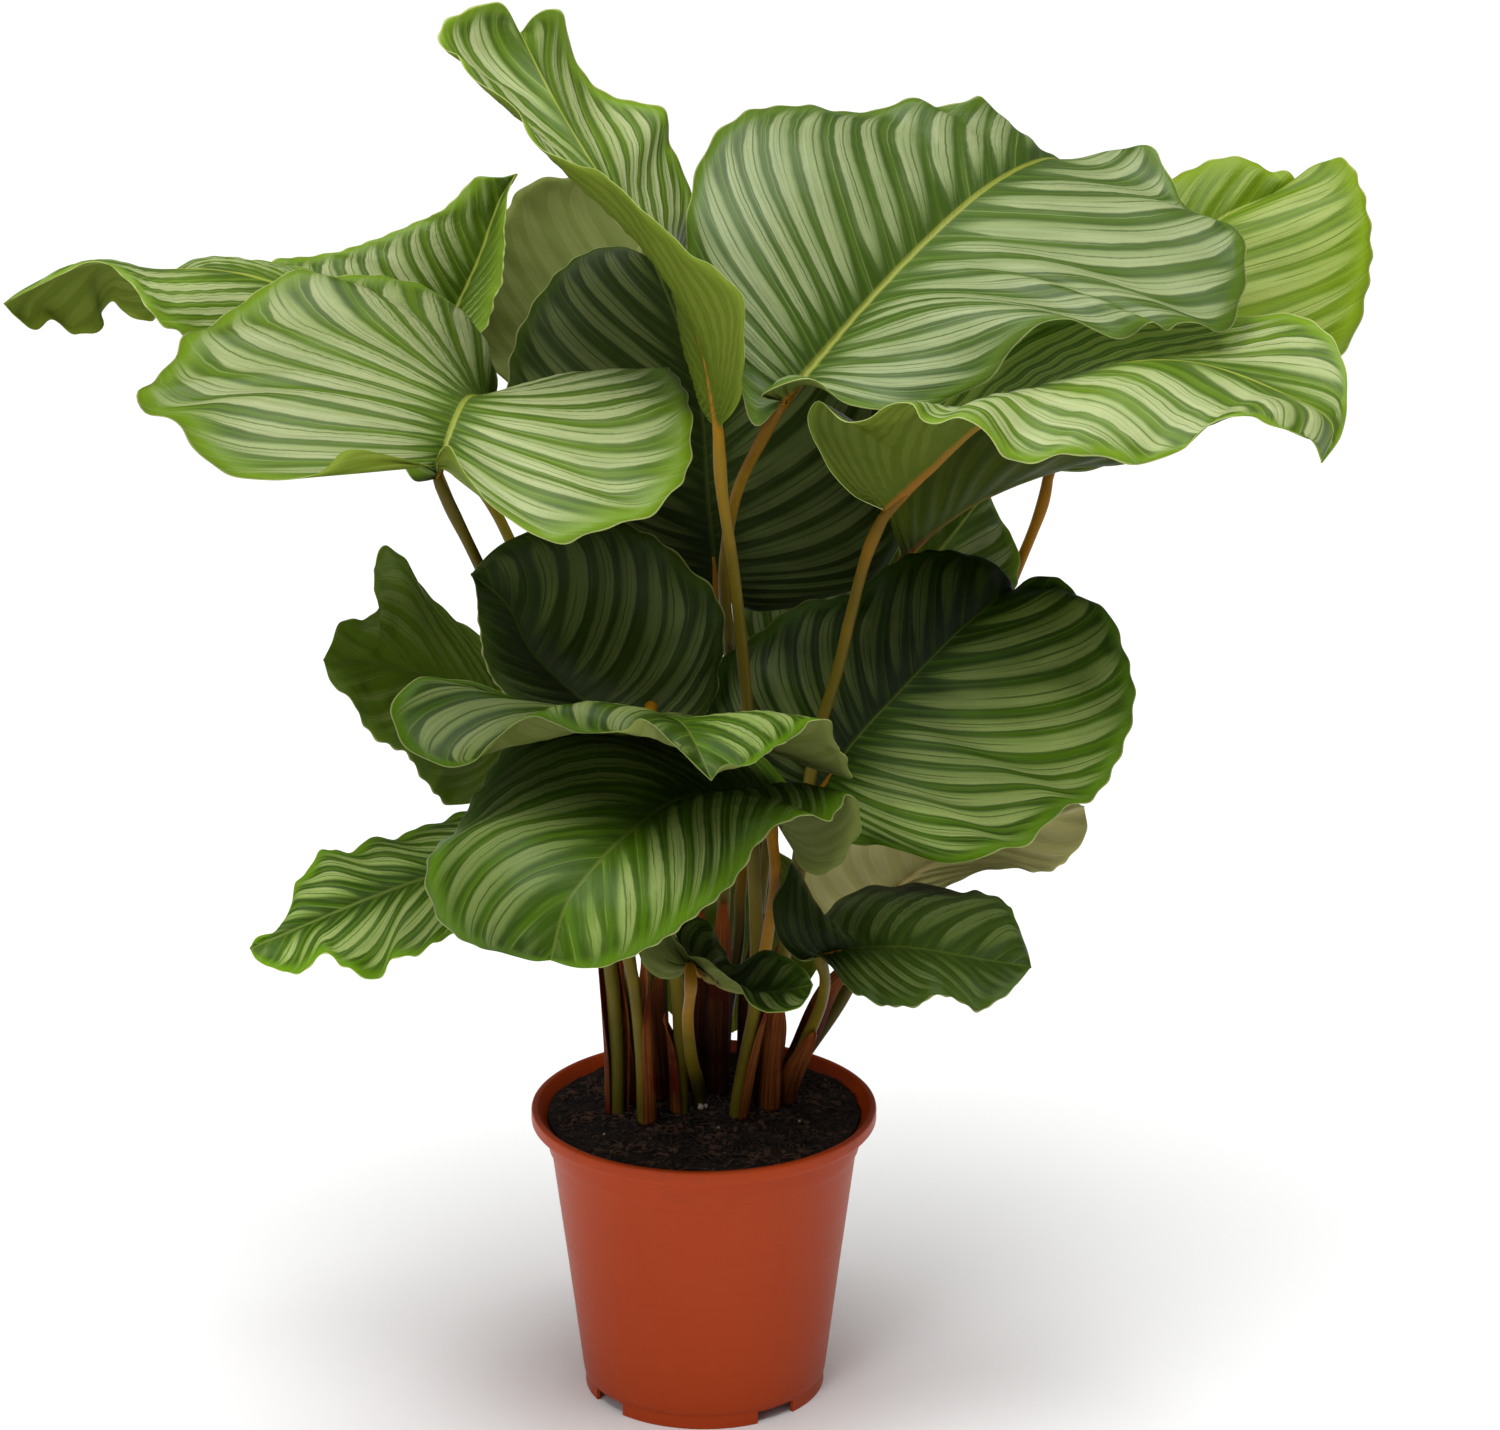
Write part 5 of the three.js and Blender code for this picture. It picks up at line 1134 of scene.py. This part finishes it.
def carried_frames(line):
    """Unit side and up vectors along a line that turn as little as they can."""
    heading = unit(np.gradient(line, axis=0))
    side = np.cross(heading[0], (0, 1, 0))
    sides, ups = [], []
    for direction in heading:
        side = side - np.dot(side, direction) * direction
        side = side / np.linalg.norm(side)
        sides.append(side)
        ups.append(np.cross(direction, side))
    return np.array(sides), np.array(ups)


def painted_thicket_shade(x, y, heights):
    """Share of painted shade for a stalk's places, 0 to 1, by how deep among the other stalks they are: the back of the
    pot, low down.
    """
    depth = np.clip((y + 8) / 36, 0, 1) * (1 - 0.5 * (x / 60) ** 2)
    low = np.clip((310 - heights) / 110, 0, 1)
    return depth * low * low * (3 - 2 * low)


def painted_shade_among_stalks(tree, colour):
    """Paints shade: darkens a colour where the stalks stand close."""
    dense = node(tree, "ShaderNodeAttribute", attribute_name="painted_thicket_shade").outputs["Fac"]
    return blend_colour(tree, dense, colour, (0.2, 0.17, 0.12), mode="MULTIPLY")


def tube_mesh(name, line, radius, sides):
    """A closed round tube along a line, with the share of its length stored at each point."""
    across, up = carried_frames(line)
    angle = np.linspace(0, 2 * np.pi, sides, endpoint=False)
    ring = across[:, None] * np.cos(angle)[None, :, None] + up[:, None] * np.sin(angle)[None, :, None]
    points = line[:, None] + ring * radius[:, None, None]
    count = len(line)
    faces = [(i * sides + k, i * sides + (k + 1) % sides, (i + 1) * sides + (k + 1) % sides, (i + 1) * sides + k)
             for i in range(count - 1) for k in range(sides)]
    faces.append(tuple(reversed(range(sides))))
    faces.append(tuple(range((count - 1) * sides, count * sides)))
    mesh = bpy.data.meshes.new(name)
    mesh.from_pydata((points.reshape(-1, 3) * MM).tolist(), [], faces)
    mesh.shade_smooth()
    store(mesh, "along", np.repeat(np.linspace(0, 1, count), sides))
    store(mesh, "sky", np.repeat(sky_seen(canopy, line), sides))
    store(mesh, "painted_thicket_shade", np.repeat(painted_thicket_shade(line[0, 0], line[0, 1], line[:, 2]), sides))
    return mesh


def stalk_skin(name, seed, ruddy):
    """Smooth skin with fine lengthwise streaks, green below and orange-brown above."""
    material, tree, shader = new_material(name, 0.42)
    along = node(tree, "ShaderNodeAttribute", attribute_name="along").outputs["Fac"]
    place = node(tree, "ShaderNodeTexCoord").outputs["Object"]
    long_way = node(tree, "ShaderNodeMapping", {"Vector": place, "Location": (seed, 0, 0), "Scale": (1.0, 1.0, 0.06)})
    streak = node(tree, "ShaderNodeTexNoise", {"Vector": long_way.outputs["Vector"], "Scale": 900.0, "Detail": 3.0})
    cloud = node(tree, "ShaderNodeTexNoise", {"Vector": place, "Scale": 30.0, "Detail": 3.0})
    shifted = calc(tree, "ADD", along, calc(tree, "MULTIPLY_ADD", cloud.outputs["Fac"], 0.3, -0.15))
    skin = blend_colour(tree, step_up(tree, shifted, 0.02, 0.3), paint(108, 102, 34), paint(112, 98, 20))
    skin = blend_colour(tree, step_up(tree, shifted, ruddy - 0.4, ruddy), skin, paint(170, 114, 8))
    skin = blend_colour(tree, step_up(tree, along, 0.93, 0.99), skin, paint(172, 110, 16))
    skin = blend_colour(tree, calc(tree, "MULTIPLY", streak.outputs["Fac"], 0.35), skin, paint(78, 60, 10))
    # Painted shade where leaves cover the sky and where the stalks stand close.
    tree.links.new(painted_shade_among_stalks(tree, painted_canopy_shade(tree, skin, 0.6)), shader.inputs["Base Color"])
    shader.inputs["Specular IOR Level"].default_value = 0.12
    bump = node(tree, "ShaderNodeBump", {"Strength": 0.2, "Distance": 0.0004, "Height": streak.outputs["Fac"]})
    tree.links.new(bump.outputs["Normal"], shader.inputs["Normal"])
    return material


for seed, (name, leaf) in enumerate(LEAVES.items()):
    curve = stalk_curve(leaf)
    share = np.linspace(0, 1, STALK_STEPS)
    line = curve.at(share)
    radius = 4.6 - 1.5 * share + 0.7 * np.exp(-((share - 0.955) / 0.03) ** 2)
    run_on = Curve(leaf["midrib"])
    tail_share = np.linspace(0.01, min(0.16, 26 / run_on.length), 8)
    tail = run_on.at(tail_share)
    sink = np.array([0.0, 0.0, -1.4])
    line = np.vstack([line[:-1], tail + sink])
    radius = np.r_[radius[:-1], np.linspace(2.9, 1.0, len(tail))]
    stalk = new_object("leaf_stalk_" + name, tube_mesh("leaf_stalk_" + name, line, radius, STALK_SIDES))
    stalk.data.materials.append(stalk_skin("stalk_skin_" + name, seed * 3.7, leaf["ruddy"]))
    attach(stalk, "root")
    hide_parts("stalk_" + name)

# ---- Sheaths ------------------------------------------------------------------------------
# Dry papery bracts that clasp the foot of a stalk, each a gutter that narrows to a torn point.
SHEATHS = [
    dict(leaf="left_front", length=120, inside=6.8, turn=110, wrap=250),
    dict(leaf="low_left", length=112, inside=6.6, turn=20, wrap=230),
    dict(leaf="centre_left", length=100, inside=6.4, turn=-60, wrap=170),
    dict(leaf="mid_front", length=70, inside=6.4, turn=170, wrap=200),
    dict(leaf="low_front", length=120, inside=6.8, turn=20, wrap=200),
    dict(leaf="top", length=100, inside=6.8, turn=30, wrap=180),
    dict(leaf="right_front", length=90, inside=6.6, turn=-95, wrap=150),
    dict(leaf="low_right_back", length=120, inside=6.8, turn=-90, wrap=200),
    dict(leaf="upper_right", length=130, inside=6.6, turn=-90, wrap=200),
    dict(leaf="centre_back", length=120, inside=6.6, turn=-90, wrap=200),
    dict(leaf="lower_right", length=140, inside=6.6, turn=-90, wrap=200),
    dict(leaf="far_left", length=90, inside=6.6, turn=-90, wrap=200),
    dict(leaf="left_mid", length=80, inside=6.6, turn=170, wrap=200),
    dict(leaf="right_back", length=110, inside=6.6, turn=-70, wrap=200),
    dict(leaf="low_right", length=84, inside=6.2, turn=-80, wrap=170),
]
SHEATH_THICKNESS = 0.6
SHEATH_ROWS = 48
SHEATH_COLUMNS = 26


def sheath_mesh(name, sheath, seed):
    """The gutter as a closed thin body with curled, uneven edges."""
    waves = np.random.default_rng(seed)
    curve = stalk_curve(LEAVES[sheath["leaf"]])
    begin = (SOIL_ROOT + SOIL_CROWN + 0.2) / curve.length
    share = np.linspace(0, 1, SHEATH_ROWS)
    centre = curve.at(begin + share * sheath["length"] / curve.length)
    narrowing = 1 - 0.9 * share ** 2.5
    phase = waves.uniform(0, 6.3, 4)
    shapes = []
    for skin in (SHEATH_THICKNESS, 0.0):
        rows = []
        for i, s in enumerate(share):
            across = np.linspace(-1, 1, SHEATH_COLUMNS)
            half = sheath["wrap"] / 2 * narrowing[i]
            ragged = 1 + 0.06 * np.sin(9 * s + phase[0]) * s
            angle = np.radians(sheath["turn"] + across * half * ragged)
            curl = 1.6 * s * across ** 4 * np.sin(7 * s + phase[1])
            crease = 0.25 * np.sin(across * 15 + 3 * s + phase[2])
            reach = sheath["inside"] + skin + 2.2 * s ** 3 + curl + crease
            rows.append(np.c_[centre[i, 0] + reach * np.cos(angle), centre[i, 1] + reach * np.sin(angle),
                              centre[i, 2] + 1.2 * s * np.sin(across * 6 + phase[3])])
        shapes.append(np.array(rows))
    outer, inner = shapes
    ring = np.concatenate([outer, inner[:, ::-1]], axis=1)
    sides = ring.shape[1]
    faces = [(i * sides + k, i * sides + (k + 1) % sides, (i + 1) * sides + (k + 1) % sides, (i + 1) * sides + k)
             for i in range(SHEATH_ROWS - 1) for k in range(sides)]
    half = SHEATH_COLUMNS
    for i in (0, SHEATH_ROWS - 1):
        for k in range(half - 1):
            faces.append((i * sides + k, i * sides + k + 1, i * sides + sides - 2 - k, i * sides + sides - 1 - k))
    mesh = bpy.data.meshes.new(name)
    mesh.from_pydata((ring.reshape(-1, 3) * MM).tolist(), [], faces)
    shape = bmesh.new()
    shape.from_mesh(mesh)
    bmesh.ops.recalc_face_normals(shape, faces=shape.faces)
    shape.to_mesh(mesh)
    shape.free()
    mesh.shade_smooth()
    store(mesh, "along", np.repeat(share, sides))
    store(mesh, "across", np.tile(np.r_[np.linspace(0, 1, half), np.linspace(1, 0, half)], SHEATH_ROWS))
    store(mesh, "sky", np.repeat(sky_seen(canopy, centre), sides))
    store(mesh, "painted_thicket_shade", np.repeat(painted_thicket_shade(centre[0, 0], centre[0, 1], centre[:, 2]), sides))
    return mesh


papery, tree, shader = new_material("dry_sheath", 0.7)
along = node(tree, "ShaderNodeAttribute", attribute_name="along").outputs["Fac"]
across = node(tree, "ShaderNodeAttribute", attribute_name="across").outputs["Fac"]
weave = node(tree, "ShaderNodeCombineXYZ", {"X": calc(tree, "MULTIPLY", across, 22.0), "Y": calc(tree, "MULTIPLY", along, 1.6)})
fibre = node(tree, "ShaderNodeTexNoise", {"Vector": weave.outputs["Vector"], "Scale": 1.0, "Detail": 5.0})
place = node(tree, "ShaderNodeTexCoord").outputs["Object"]
stain = node(tree, "ShaderNodeTexNoise", {"Vector": place, "Scale": 38.0, "Detail": 3.0})
brown = blend_colour(tree, step_up(tree, fibre.outputs["Fac"], 0.3, 0.75), paint(88, 42, 14), paint(160, 90, 36))
brown = blend_colour(tree, step_up(tree, stain.outputs["Fac"], 0.45, 0.65), brown, paint(104, 32, 8))
brown = blend_colour(tree, step_up(tree, along, 0.7, 1.0), brown, paint(142, 72, 22))
# Painted shade where leaves cover the sky and where the stalks stand close.
tree.links.new(painted_shade_among_stalks(tree, painted_canopy_shade(tree, brown, 0.6)), shader.inputs["Base Color"])
shader.inputs["Specular IOR Level"].default_value = 0.1
bump = node(tree, "ShaderNodeBump", {"Strength": 0.6, "Distance": 0.0008, "Height": fibre.outputs["Fac"]})
tree.links.new(bump.outputs["Normal"], shader.inputs["Normal"])
for index, sheath in enumerate(SHEATHS):
    name = "dry_sheath_%d" % (index + 1)
    bract = new_object(name, sheath_mesh(name, sheath, index + 5))
    bract.data.materials.append(papery)
    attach(bract, "root")
    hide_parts("sheath_%d" % (index + 1))
